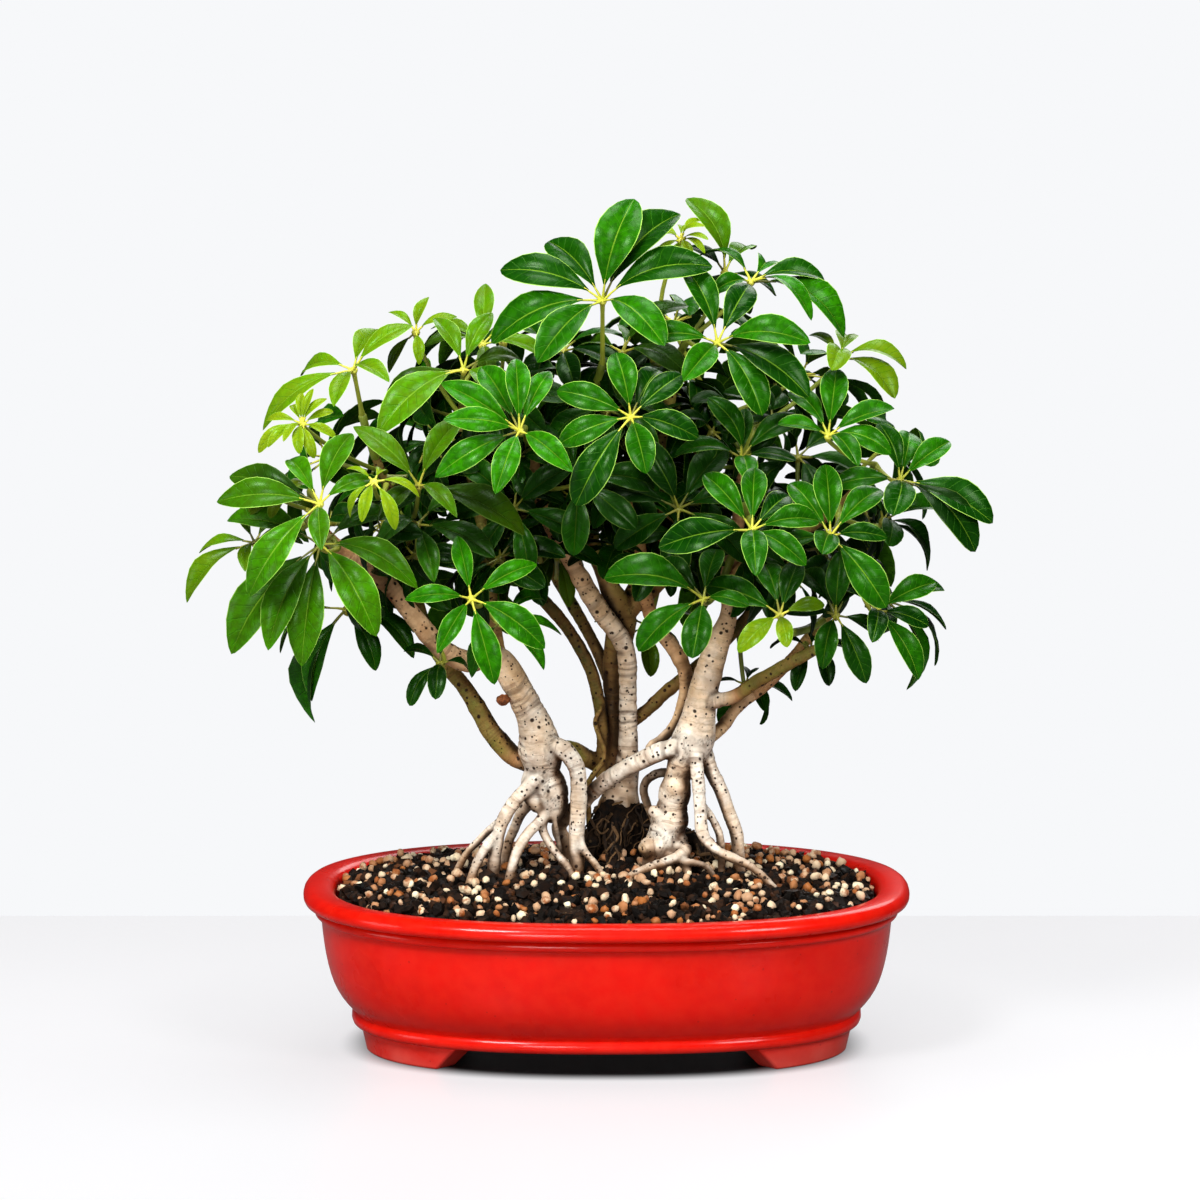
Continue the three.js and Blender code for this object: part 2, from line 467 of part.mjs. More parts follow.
// Pot
function ovalRing(offset, z, squareness = POT_SQUARENESS) {
  return Array.from({ length: POT_SIDES }, (_, i) => {
    const t = (2 * Math.PI * (i + 0.5)) / POT_SIDES;
    const [c, s] = [Math.cos(t), Math.sin(t)];
    const power = 2 / squareness;
    return new THREE.Vector3(
      (POT_HALF_WIDTH + offset) * Math.sign(c) * Math.abs(c) ** power,
      (POT_HALF_DEPTH + offset) * Math.sign(s) * Math.abs(s) ** power,
      z,
    );
  });
}

// Offsets from the lip's outline and heights, from the underside out, up, over the lip and down inside.
const POT_OUTSIDE = [
  [-31, FOOT_HEIGHT], [-26, 13], [-24.2, 16], [-25.2, 19.5], [-19.4, 26], [-14.4, 36], [-11, 48],
  [-8.8, 67.5], [-5.6, 69], [-5.6, 72], [-7.4, 73.5], [-1.4, 74], [0, 77], [-1.2, 80.6],
  [-3.8, POT_HEIGHT],
];
const POT_INSIDE = [
  [-13, POT_HEIGHT], [-15.6, 79], [-17, 60], [-22, 34], [-30, FLOOR_TOP + 3], [-36, FLOOR_TOP],
];

function drain(x) {
  const ring = (z) => Array.from({ length: DRAIN_SIDES }, (_, i) => {
    const t = (2 * Math.PI * i) / DRAIN_SIDES;
    return new THREE.Vector3(x + DRAIN_RADIUS * Math.cos(t), DRAIN_RADIUS * Math.sin(t), z);
  });
  return skin([ring(FOOT_HEIGHT - FLOOR_THICKNESS), ring(FLOOR_TOP + FLOOR_THICKNESS)]);
}

// A foot runs from one angle of the oval to another. Its faces are at offsets from the lip's outline,
// and its ends lean in towards the ground.
const FOOT_START = THREE.MathUtils.degToRad(197);
const FOOT_END = THREE.MathUtils.degToRad(238);
const FOOT_STEPS = 4;
const FOOT_SOLE = { z: 0, outer: -32, inner: -44, lean: THREE.MathUtils.degToRad(3) };
const FOOT_ROOT = { z: FOOT_HEIGHT + 0.8, outer: -31.4, inner: -46, lean: 0 };

// A bracket foot: a slice of the oval wall, narrower where it stands. flip mirrors it to other corners.
function foot(flipX, flipY) {
  const ring = ({ z, outer, inner, lean }) => {
    const arc = (offset) => Array.from({ length: FOOT_STEPS + 1 }, (_, i) => {
      const t = mix(FOOT_START + lean, FOOT_END - lean, i / FOOT_STEPS);
      const power = 2 / POT_SQUARENESS;
      return new THREE.Vector3(
        flipX * (POT_HALF_WIDTH + offset) * -(Math.abs(Math.cos(t)) ** power),
        flipY * (POT_HALF_DEPTH + offset) * -(Math.abs(Math.sin(t)) ** power),
        z,
      );
    });
    const loop = [...arc(outer), ...arc(inner).reverse()];
    return flipX * flipY > 0 ? loop : loop.reverse();
  };
  return skin([ring(FOOT_SOLE), ring(FOOT_ROOT)]);
}

function makePot() {
  const rings = [...POT_OUTSIDE, ...POT_INSIDE].map(([offset, z]) => ovalRing(offset, z));
  let body = skin(rings);
  for (const x of [-DRAIN_X, DRAIN_X]) {
    body = body.subtract(drain(x));
  }
  for (const flipX of [1, -1]) {
    for (const flipY of [1, -1]) {
      body = body.add(foot(flipX, flipY));
    }
  }
  return body;
}

// A block on the middle (x, 0), from one height to another.
function block(x, width, depth, bottom, top) {
  const ring = (z) => [[-1, -1], [1, -1], [1, 1], [-1, 1]]
    .map(([sx, sy]) => new THREE.Vector3(x + (sx * width) / 2, (sy * depth) / 2, z));
  return skin([ring(bottom), ring(top)]);
}

// A drain screen: a square plate with slots.
function makeScreen(x) {
  const bottom = FLOOR_TOP + CLEARANCE;
  const pitch = SCREEN_SIDE / (SLOTS + 1);
  let plate = block(x, SCREEN_SIDE, SCREEN_SIDE, bottom, bottom + SCREEN_THICKNESS);
  for (let i = 1; i <= SLOTS; i++) {
    const middle = x - SCREEN_SIDE / 2 + i * pitch;
    const [below, above] = [bottom - SCREEN_THICKNESS, bottom + 2 * SCREEN_THICKNESS];
    plate = plate.subtract(block(middle, pitch / 2, SCREEN_SIDE - 2 * pitch, below, above));
  }
  return plate;
}

// Limbs
const limbLine = (path) => ({ points: path.map(seen), radii: path.map((row) => row[3]) });

function limbSides(path) {
  const widest = Math.max(...path.map((row) => row[3]));
  return widest > THICK_LIMB ? THICK_SIDES : THIN_SIDES;
}

// The point at a share of a limb's length, its direction and radius there.
function alongLimb([tree, limb, share]) {
  const { points, radii } = limbLine(TREES[tree][limb]);
  const lengths = points.slice(1).map((p, i) => p.distanceTo(points[i]));
  let left = share * lengths.reduce((a, b) => a + b, 0);
  let k = 0;
  while (k < lengths.length - 1 && left > lengths[k]) {
    left -= lengths[k];
    k += 1;
  }
  const t = left / lengths[k];
  return {
    point: points[k].clone().lerp(points[k + 1], t),
    radius: mix(radii[k], radii[k + 1], t),
    near: (capsule) => capsule.limb === tree + limb && Math.abs(capsule.span - k) < 2,
    sleeve: () => limbSleeve(TREES[tree][limb], Math.max(k - 1, 0), k + 2),
  };
}

// A limb's own skin from one of its points to another, a little wider, to be cut out of a neighbour.
function limbSleeve(path, first, last) {
  const { points, radii } = limbLine(path);
  const rings = tubeRings(points, radii.map((r) => r + CLEARANCE), limbSides(path));
  return skin(rings.slice(first, last + 1));
}

// Things in the way, as capsules { a, b, radius, owner } and blades.
const capsules = [];
const blades = [];

function addCapsules(points, radii, tags) {
  for (let k = 0; k < points.length - 1; k++) {
    const radius = Math.max(radii[k], radii[k + 1]);
    capsules.push({ a: points[k], b: points[k + 1], radius, span: k, ...tags });
  }
}

function segmentGap(p1, q1, p2, q2) {
  const [d1, d2, r] = [q1.clone().sub(p1), q2.clone().sub(p2), p1.clone().sub(p2)];
  const [a, e, f, c, b] = [d1.dot(d1), d2.dot(d2), d2.dot(r), d1.dot(r), d1.dot(d2)];
  const clamp01 = (v) => THREE.MathUtils.clamp(v, 0, 1);
  const denominator = a * e - b * b;
  let s = denominator > 1e-9 ? clamp01((b * f - c * e) / denominator) : 0;
  let t = (b * s + f) / e;
  if (t < 0 || t > 1) {
    t = clamp01(t);
    s = clamp01((b * t - c) / a);
  }
  return p1.clone().addScaledVector(d1, s).distanceTo(p2.clone().addScaledVector(d2, t));
}

const nearest = new THREE.Vector3();
const hit = new THREE.Vector3();
const ray = new THREE.Ray();

// The gap between a line piece and a triangle, 0 where it goes through.
function triangleGap(p, q, triangle) {
  ray.origin.copy(p);
  ray.direction.copy(q).sub(p).normalize();
  const crosses = ray.intersectTriangle(triangle.a, triangle.b, triangle.c, false, hit);
  if (crosses && hit.distanceTo(p) <= p.distanceTo(q)) {
    return 0;
  }
  const ends = [p, q].map((end) => triangle.closestPointToPoint(end, nearest).distanceTo(end));
  const sides = [[triangle.a, triangle.b], [triangle.b, triangle.c], [triangle.c, triangle.a]];
  return Math.min(...ends, ...sides.map(([a, b]) => segmentGap(p, q, a, b)));
}

// Leaflets
const BENDS = [0, 9, -9, 18, -18, 28, -28, 40].map(THREE.MathUtils.degToRad);
const SHORTENINGS = [1, 0.8];

// The frame of a leaflet from its hub, with its tip bent up or down and drawn in.
function leafFrame(umbrella, tip, bend, shortening) {
  const across = tip.clone().cross(umbrella.facing).normalize();
  const reach = tip.clone().applyAxisAngle(across, bend).multiplyScalar(shortening);
  const length = reach.length();
  const along = reach.clone().divideScalar(length);
  const up = across.clone().cross(along);
  const at = (share, side, drop) => umbrella.hub.clone()
    .addScaledVector(along, share * length)
    .addScaledVector(up, 4 * LEAF_ARCH * length * share * (1 - share) - drop)
    .addScaledVector(across, side);
  return { length, width: umbrella.width * length, at };
}

// Stations along a leaflet: share of its length, and half width as a share of its width.
const LEAF_STATIONS = [[STALK_SHARE, 0], [0.42, 0.46], [0.76, 0.43]];

function leafRims(frame) {
  return LEAF_STATIONS.map(([share, half]) => {
    const side = Math.max(half * frame.width, STALK_RADIUS);
    return [frame.at(share, side, 0), frame.at(share, -side, 0)];
  });
}

function bladeOf(frame, owner, hub) {
  const rims = leafRims(frame);
  const keels = LEAF_STATIONS.slice(0, 2).map(([share]) => frame.at(share, 0, LEAF_THICKNESS));
  const tip = frame.at(1, 0, 0);
  const [[r0, l0], [r1, l1], [r2, l2]] = rims;
  const triangles = [[r0, r1, l1], [r0, l1, l0], [r1, r2, l2], [r1, l2, l1], [r2, tip, l2]]
    .map(([a, b, c]) => new THREE.Triangle(a, b, c));
  const rim = [r0, r1, r2, tip, l2, l1, l0];
  const edges = rim.map((p, i) => [p, rim[(i + 1) % rim.length]]);
  const sphere = new THREE.Sphere().setFromPoints(rim);
  const stalk = [hub, frame.at(STALK_SHARE, 0, 0)];
  return { rims, keels, tip, triangles, edges, sphere, owner, hub, stalk };
}

function bladesClear(one, other) {
  const near = one.sphere.radius + other.sphere.radius + LEAF_GAP;
  if (one.sphere.center.distanceTo(other.sphere.center) > near) {
    return true;
  }
  const sameHub = one.hub === other.hub;
  const gap = sameHub ? LEAF_THICKNESS : LEAF_GAP;
  const apart = (edges, triangles) =>
    edges.every(([p, q]) => triangles.every((t) => triangleGap(p, q, t) > gap));
  const stalks = sameHub || [[one, other], [other, one]].every(([a, b]) =>
    b.triangles.every((t) => triangleGap(...a.stalk, t) > STALK_RADIUS + LEAF_GAP));
  return stalks && apart(one.edges, other.triangles) && apart(other.edges, one.triangles);
}

function capsuleClear(blade, capsule) {
  const own = capsule.hub === blade.hub;
  if (own && capsule.atHub) {
    return true;
  }
  const needed = capsule.radius + (own ? LEAF_THICKNESS : LEAF_GAP);
  const middle = capsule.a.clone().lerp(capsule.b, 0.5);
  const reach = capsule.a.distanceTo(capsule.b) / 2 + needed;
  const bladeNear = middle.distanceTo(blade.sphere.center) < reach + blade.sphere.radius;
  if (bladeNear && !blade.triangles.every((t) => triangleGap(capsule.a, capsule.b, t) > needed)) {
    return false;
  }
  return own || segmentGap(...blade.stalk, capsule.a, capsule.b) > needed + STALK_RADIUS;
}

// An umbrella is full all round: a leaflet goes into the middle of any gap wider than this.
const WIDEST_GAP = THREE.MathUtils.degToRad(118);
const FILL_LENGTH = 0.85;

function fillGaps(tips, clock, spoke) {
  const length = (FILL_LENGTH * tips.reduce((sum, tip) => sum + tip.length(), 0)) / tips.length;
  for (;;) {
    const angles = tips.map(clock);
    const gaps = angles.map((angle, k) => angle - (k ? angles[k - 1] : angles.at(-1) - 2 * Math.PI));
    const widest = Math.max(...gaps);
    if (widest < WIDEST_GAP) {
      return tips;
    }
    const k = gaps.indexOf(widest);
    tips = [...tips, spoke(angles[k] - widest / 2, length)].sort((a, b) => clock(a) - clock(b));
  }
}

// Facing and leaflet tips of an umbrella; one that hides gets even leaflets that droop a little.
const DROOP = 0.18;
const TURN_SCATTER = 0.3;
const SHORTEST = 0.82;
const LONGEST = 1.02;

function planUmbrella(row) {
  const facing = new THREE.Vector3(...row.facing).normalize();
  const hub = seen(row.hub);
  const side = new THREE.Vector3(1, 0, 0).addScaledVector(facing, -facing.x).normalize();
  const other = facing.clone().cross(side);
  const clock = (v) => Math.atan2(v.dot(other), v.dot(side));
  const spoke = (angle, length) => side.clone().multiplyScalar(Math.cos(angle) * length)
    .addScaledVector(other, Math.sin(angle) * length)
    .addScaledVector(facing, -DROOP * length);
  let tips = (row.tips ?? []).map(([x, h, y]) => seen([x, h, y]));
  if (row.count) {
    const seed = row.hub[0] + 3 * row.hub[1];
    tips = Array.from({ length: row.count }, (_, k) => {
      const step = (2 * Math.PI * (k + TURN_SCATTER * scatter(seed, k))) / row.count;
      const length = row.reach * mix(SHORTEST, LONGEST, scatter(seed, k + row.count));
      return spoke(THREE.MathUtils.degToRad(row.turn) + step, length);
    });
  }
  tips.sort((a, b) => clock(a) - clock(b));
  tips = fillGaps(tips, clock, spoke);
  return { hub, facing, side, other, clock, tips, width: row.width ?? LEAF_WIDTH_RATIO };
}

// One closed body of a stalk, the hub on it and the leaflets, each from a port in the hub's rim.
function umbrellaBody(umbrella, leaflets, stalkRings) {
  const { hub, facing, side, other, clock } = umbrella;
  const n = leaflets.length;
  const angles = leaflets.map((leaf) => clock(leaf.tip.clone().sub(hub)));
  const onRim = (angle, radius, drop) => hub.clone()
    .addScaledVector(side, Math.cos(angle) * radius)
    .addScaledVector(other, Math.sin(angle) * radius)
    .addScaledVector(facing, -drop);
  const points = [onRim(0, 0, -HUB_DOME)];
  const faces = [];
  const add = (...list) => list.map((p) => points.push(p) - 1);

  const rim = leaflets.flatMap((leaf, i) => {
    const before = i ? angles[i - 1] : angles[n - 1] - 2 * Math.PI;
    const corner = (before + angles[i]) / 2;
    return [
      { angle: corner, index: add(onRim(corner, HUB_RADIUS, 0))[0] },
      { angle: angles[i], index: add(onRim(angles[i], HUB_RADIUS * PORT_SHARE, PORT_DROP))[0] },
    ];
  });
  leaflets.forEach((leaf, i) => {
    const [r, k, l] = [rim[2 * i], rim[2 * i + 1], rim[(2 * i + 2) % rim.length]].map((v) => v.index);
    const [[r0, l0], [r1, l1], [r2, l2]] = leaf.rims.map((pair) => add(...pair));
    const [k0, k1] = add(...leaf.keels);
    const [tip] = add(leaf.tip);
    faces.push(
      [0, r, l],
      [r, r0, l0], [r, l0, l], [r, k, k0], [r, k0, r0], [l, k0, k], [l, l0, k0],
      [r0, r1, l1], [r0, l1, l0], [r0, k0, k1], [r0, k1, r1], [l0, k1, k0], [l0, l1, k1],
      [r1, r2, l2], [r1, l2, l1], [r2, tip, l2],
      [r1, k1, r2], [r2, k1, tip], [l1, l2, k1], [l2, tip, k1],
    );
  });

  // The underside, from the rim to the stalk's last ring, stepping round whichever is behind.
  const first = points.length;
  const sides = stalkRings[0].length;
  add(...stalkRings.flat());
  const top = first + (stalkRings.length - 1) * sides;
  const turn = (angle) => angle - 2 * Math.PI * Math.floor((angle - rim[0].angle) / (2 * Math.PI) + 1e-9);
  const inner = stalkRings.at(-1)
    .map((p, i) => ({ angle: turn(clock(p.clone().sub(hub))), index: top + i }))
    .sort((a, b) => a.angle - b.angle);
  let [outerAt, innerAt] = [0, 0];
  const wrapped = (list, i) => ({
    index: list[i % list.length].index,
    angle: list[i % list.length].angle + (i < list.length ? 0 : 2 * Math.PI),
  });
  while (outerAt < rim.length || innerAt < sides) {
    const [here, there] = [wrapped(rim, outerAt), wrapped(inner, innerAt)];
    const [nextOuter, nextInner] = [wrapped(rim, outerAt + 1), wrapped(inner, innerAt + 1)];
    if (innerAt >= sides || (outerAt < rim.length && nextOuter.angle <= nextInner.angle)) {
      faces.push([there.index, nextOuter.index, here.index]);
      outerAt += 1;
    } else {
      faces.push([there.index, nextInner.index, here.index]);
      innerAt += 1;
    }
  }
  for (let k = 0; k < stalkRings.length - 1; k++) {
    for (let i = 0; i < sides; i++) {
      const j = (i + 1) % sides;
      const [a, b] = [first + k * sides, first + (k + 1) * sides];
      faces.push([a + i, a + j, b + j], [a + i, b + j, b + i]);
    }
  }
  for (let i = 1; i < sides - 1; i++) {
    faces.push([first, first + i + 1, first + i]);
  }
  return solid(points, faces);
}

// Leaf stalks: from the shoot to the hub, bowed, and swayed aside where something is in the way.
const SWAYS = [
  [0, 0], [0.12, 0], [-0.12, 0], [0, 0.12], [0, -0.12], [0.22, 0], [-0.22, 0], [0.2, 0.2],
  [-0.2, 0.2], [0.34, 0], [-0.34, 0],
];
const PETIOLE_STEPS = 3;
const BOW_SHARE = 0.6;
const BOW_DEPTH = 0.16;

function petiolePath(start, umbrella, sway) {
  const end = umbrella.hub.clone().addScaledVector(umbrella.facing, -HUB_DEPTH);
  const line = end.clone().sub(start);
  const length = line.length();
  const aside = line.clone().cross(new THREE.Vector3(0, 0, 1)).normalize();
  const above = aside.clone().cross(line).normalize();
  const bow = start.clone().lerp(end, BOW_SHARE)
    .addScaledVector(umbrella.facing, -BOW_DEPTH * length)
    .addScaledVector(aside, sway[0] * length)
    .addScaledVector(above, sway[1] * length);
  return Array.from({ length: PETIOLE_STEPS + 1 }, (_, k) => {
    const t = k / PETIOLE_STEPS;
    return start.clone().multiplyScalar((1 - t) ** 2)
      .addScaledVector(bow, 2 * t * (1 - t))
      .addScaledVector(end, t * t);
  });
}

const pathClear = (points, radius, shoot) => points.slice(1).every((p, k) => capsules.every((other) =>
  other.owner === shoot.row.name || shoot.root.near(other)
    || segmentGap(points[k], p, other.a, other.b) > radius + other.radius + CLEARANCE));

// A shoot starts inside its limb, at this share of the limb's radius, and is clear of it just outside.
const START_SHARE = 0.4;
const START_CLEAR = 1;

function planShoot(row) {
  const root = alongLimb(row.from);
  const umbrellas = row.umbrellas.map(planUmbrella);
  const fork = row.fork ? seen(row.fork) : null;
  const shoot = { row, root, umbrellas, fork, stalks: [] };
  const reach = (fork ?? umbrellas[0].hub).clone().sub(root.point).normalize();
  shoot.start = root.point.clone().addScaledVector(reach, root.radius * START_SHARE);
  shoot.clearStart = root.point.clone().addScaledVector(reach, root.radius + START_CLEAR);
  if (fork) {
    const line = [shoot.clearStart, fork];
    if (!pathClear(line, SHOOT_RADIUS, shoot)) {
      console.warn(row.name + ": its fork is not clear");
    }
    addCapsules(line, [SHOOT_RADIUS, SHOOT_RADIUS], { owner: row.name });
  }
  return shoot;
}

function planStalks(shoot) {
  const { row, umbrellas, fork } = shoot;
  for (const umbrella of umbrellas) {
    const from = fork ?? shoot.start;
    const clearPart = (points) => (fork ? points : [shoot.clearStart, ...points.slice(1)]);
    const routes = SWAYS.map((sway) => petiolePath(from, umbrella, sway));
    const route = routes.find((points) => pathClear(clearPart(points), PETIOLE_RADIUS, shoot));
    if (!route) {
      console.warn(row.name + ": no clear way for a stalk");
    }
    const points = route ?? routes[0];
    shoot.stalks.push(points);
    const line = clearPart(points);
    const last = line.at(-1);
    const neck = last.clone().add(line.at(-2).clone().sub(last).setLength(HUB_REACH));
    const stalk = { radius: PETIOLE_RADIUS, owner: row.name, hub: umbrella.hub };
    const ends = [...line.slice(1, -1), neck];
    ends.forEach((p, k) => capsules.push({ ...stalk, a: line[k], b: p }));
    capsules.push({ ...stalk, a: neck, b: last, atHub: true });
  }
}

function growLeaflets(shoot) {
  shoot.leaflets = shoot.umbrellas.map((umbrella) => umbrella.tips.flatMap((tip) => {
    for (const shortening of SHORTENINGS) {
      for (const bend of BENDS) {
        const blade = bladeOf(leafFrame(umbrella, tip, bend, shortening), shoot.row.name, umbrella.hub);
        const free = capsules.every((capsule) => capsuleClear(blade, capsule));
        if (free && blades.every((other) => bladesClear(blade, other))) {
          blades.push(blade);
          return [blade];
        }
      }
    }
    return [];
  }));
}

// The first umbrella's stalk is the shoot itself; the others leave it where it forks.
function shootBody(shoot) {
  const bodies = shoot.umbrellas.map((umbrella, i) => {
    const stalk = shoot.stalks[i];
    const main = i === 0 && shoot.fork;
    const points = main ? [shoot.start, ...stalk] : stalk;
    const radii = points.map((_, k) => (i === 0 && k < (main ? 2 : 1) ? SHOOT_RADIUS : PETIOLE_RADIUS));
    const rings = tubeRings(points, radii, STALK_SIDES, umbrella.facing);
    return umbrellaBody(umbrella, shoot.leaflets[i], rings);
  });
  return largest(join(bodies).subtract(shoot.root.sleeve()));
}

function makeTree(tree) {
  const limbs = Object.values(tree).map((path) => {
    const { points, radii } = limbLine(path);
    return tube(points, radii, limbSides(path));
  });
  return largest(join(limbs));
}

// Soil
const SOIL_RINGS = [0.92, 0.78, 0.62, 0.46, 0.3, 0.14];
const SOIL_WALL = [
  [-36, FLOOR_TOP + CLEARANCE], [-30, FLOOR_TOP + 3.2], [-22, 34], [-17, 60], [-15.8, SOIL_EDGE_HEIGHT],
];
const LIP_DEPTH = 16;
const SOIL_REACH_X = POT_HALF_WIDTH - LIP_DEPTH;
const SOIL_REACH_Y = POT_HALF_DEPTH - LIP_DEPTH;
const ROOT_MARGIN = 6;

function soilHeight(x, y) {
  const [acrossX, acrossY] = [1 - (x / SOIL_REACH_X) ** 2, 1 - (y / SOIL_REACH_Y) ** 2];
  return SOIL_EDGE_HEIGHT + SOIL_RISE * Math.max(0, acrossX) * Math.max(0, acrossY);
}

// The stretch of a limb that stands in the soil, a little wider: its hole.
function rootHole(path) {
  const { points } = limbLine(path);
  const near = points.map((p) => p.z < soilHeight(p.x, p.y) + ROOT_MARGIN);
  if (!near.includes(true)) {
    return null;
  }
  const first = Math.max(near.indexOf(true) - 1, 0);
  const last = Math.min(near.lastIndexOf(true) + 1, points.length - 1);
  return limbSleeve(path, first, last);
}

function makeSoil() {
  const rings = SOIL_WALL.map(([offset, z]) => ovalRing(offset - SOIL_WALL_GAP, z));
  const edge = rings.at(-1);
  SOIL_RINGS.forEach((share, k) => {
    rings.push(edge.map((p, i) => {
      const [x, y] = [share * p.x, share * p.y];
      return new THREE.Vector3(x, y, soilHeight(x, y) + SOIL_LUMP * (2 * scatter(i, k) - 1));
    }));
  });
  let body = skin(rings);
  for (const x of [-DRAIN_X, DRAIN_X]) {
    const side = SCREEN_SIDE + 2 * CLEARANCE;
    const top = FLOOR_TOP + SCREEN_THICKNESS + 2 * CLEARANCE;
    body = body.subtract(block(x, side, side, FLOOR_TOP - SCREEN_THICKNESS, top));
  }
  for (const path of Object.values(TREES).flatMap(Object.values)) {
    const hole = rootHole(path);
    if (hole) {
      body = body.subtract(hole);
    }
  }
  return largest(body);
}

// Assembly
const paint = (color, roughness) => new THREE.MeshStandardMaterial({ color, roughness, metalness: 0 });
const GLAZE = paint(0xb5161a, 0.25);
const PLASTIC = paint(0x1c1c1c, 0.6);
const EARTH = paint(0x231d18, 0.95);
const BARK = paint(0xcdb892, 0.8);
const LEAF = paint(0x2e7d1f, 0.35);
const YOUNG_LEAF = paint(0xa6c52a, 0.4);

for (const [name, tree] of Object.entries(TREES)) {
  for (const [limb, path] of Object.entries(tree)) {
    const { points, radii } = limbLine(path);
    addCapsules(points, radii, { owner: "tree_" + name, limb: name + limb });
  }
}
const shoots = SHOOTS.map(planShoot);
shoots.forEach(planStalks);
shoots.forEach(growLeaflets);

const bonsai = new THREE.Group();
bonsai.add(mesh("pot", makePot(), GLAZE));
bonsai.add(mesh("soil", makeSoil(), EARTH));
bonsai.add(mesh("drain_screen_left", makeScreen(-DRAIN_X), PLASTIC));
bonsai.add(mesh("drain_screen_right", makeScreen(DRAIN_X), PLASTIC));
for (const [name, tree] of Object.entries(TREES)) {
  bonsai.add(mesh("tree_" + name, makeTree(tree), BARK));
}
for (const shoot of shoots) {
  bonsai.add(mesh(shoot.row.name, shootBody(shoot), shoot.row.young ? YOUNG_LEAF : LEAF));
}

// The origin is under the middle of the whole plant.
const middle = new THREE.Box3().setFromObject(bonsai).getCenter(new THREE.Vector3());
bonsai.position.set(-middle.x, -middle.y, 0);

export default bonsai;
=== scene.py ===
"""Umbrella tree bonsai in a red oval pot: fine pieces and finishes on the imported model."""

import math
import random

import bmesh
import bpy
import numpy as np
from mathutils import Matrix, Vector, noise
from mathutils.bvhtree import BVHTree
from mathutils.kdtree import KDTree


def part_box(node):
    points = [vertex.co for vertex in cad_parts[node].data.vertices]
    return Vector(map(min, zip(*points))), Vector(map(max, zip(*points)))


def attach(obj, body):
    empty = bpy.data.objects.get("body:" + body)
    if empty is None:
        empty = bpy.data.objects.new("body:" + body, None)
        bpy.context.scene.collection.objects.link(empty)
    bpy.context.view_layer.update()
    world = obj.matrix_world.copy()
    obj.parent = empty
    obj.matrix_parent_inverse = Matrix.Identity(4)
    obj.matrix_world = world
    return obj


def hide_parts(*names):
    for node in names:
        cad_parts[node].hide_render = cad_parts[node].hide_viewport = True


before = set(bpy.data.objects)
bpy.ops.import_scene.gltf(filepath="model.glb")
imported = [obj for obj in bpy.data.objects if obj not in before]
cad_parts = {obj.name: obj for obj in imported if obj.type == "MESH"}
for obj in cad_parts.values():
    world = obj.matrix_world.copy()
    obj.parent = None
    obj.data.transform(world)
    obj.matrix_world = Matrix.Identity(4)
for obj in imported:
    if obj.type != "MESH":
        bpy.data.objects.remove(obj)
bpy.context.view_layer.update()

bl_info = {
    "name": "Umbrella Tree Bonsai",
    "version": (1, 0, 0),
    "blender": (4, 5, 0),
    "location": "3D View > Sidebar > Bonsai",
    "description": "Builds an umbrella tree bonsai in a red glazed oval pot",
    "category": "Add Mesh",
}

MM = 0.001

# The trees are laid out as they are seen from the front, from a little above:
# x to the right, h up the picture, y away from the viewer, in millimetres from the pot's middle
VIEW_TILT = math.radians(10.65)
POT_LOW, POT_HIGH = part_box("pot")
POT_MIDDLE = Vector(((POT_LOW.x + POT_HIGH.x) / 2, (POT_LOW.y + POT_HIGH.y) / 2, 0))

# Pot, in metres
POT_HALF_WIDTH = 0.152
POT_HALF_DEPTH = 0.112
POT_SQUARENESS = 2.4
POT_SIDES = 144
DRAIN_X = 0.062
DRAIN_RADIUS = 0.010
DRAIN_SIDES = 48
DRAIN_MIDDLE = 0.015
DRAIN_DEPTH = 0.02
SOFT_BEND = math.radians(38)

# Offset from the lip's outline and height, in millimetres: the underside, the foot bead, the wall,
# the bead under the lip, the rolled lip, and down inside to the floor
POT_PROFILE = [
    (-34, 12), (-28.4, 12), (-26.2, 12.4), (-24.8, 13.5), (-24.2, 15.1), (-24.3, 16.8), (-25, 18.2),
    (-25.7, 18.9), (-25.4, 19.7), (-23.2, 21.9), (-20.8, 24.5), (-18.6, 27.4), (-16.6, 30.7),
    (-14.9, 34.3), (-13.5, 38.3), (-12.3, 42.8), (-11.2, 48), (-10.3, 53.5), (-9.6, 59), (-9.1, 64),
    (-8.8, 67.2), (-8.3, 67.9), (-6.7, 68.2), (-5.8, 68.9), (-5.4, 70), (-5.5, 71.3), (-6.2, 72.4),
    (-7.4, 73), (-7.3, 73.4), (-4, 73.5), (-1.9, 73.9), (-0.7, 74.8), (-0.1, 76.1), (0, 77.4), (-0.4, 79),
    (-1.4, 80.5), (-2.8, 81.6), (-4.6, 82.1), (-8, 82.2), (-11.4, 82), (-13.6, 81.3), (-15.1, 79.9),
    (-15.8, 77.8), (-16.2, 74), (-17, 60), (-19, 46), (-22, 34), (-30, 21), (-36, 18),
]

# Foot: angles of the oval that it spans at the ground and where it meets the wall, in degrees, and the
# offsets of its outer and inner face
FOOT_SOLE = {"start": 189, "end": 229.2, "outer": -30.8, "inner": -44, "z": 0}
FOOT_ROOT = {"start": 187, "end": 237, "outer": -28.2, "inner": -46, "z": 12.8}
FOOT_STEPS = 16
FOOT_LEVELS = 6

# Soil, in metres: the step of the mound's skin, how far inside the lip the loose grit stays, and how high
# it lies at least; and the least bends that stay edges on rough lumps, smooth pebbles and leaves
SOIL_STEP = 0.0024
SOIL_MARGIN = 0.0158
SOIL_LOW = 0.06
ROUGH_BEND = math.radians(24)
SMOOTH_BEND = math.radians(60)
LEAF_BEND = math.radians(70)

# Points of a packed form, and hubs of leaflets, that are this near each other are one, in metres
SAME_PLACE = 2e-6
SAME_HUB = 0.0008

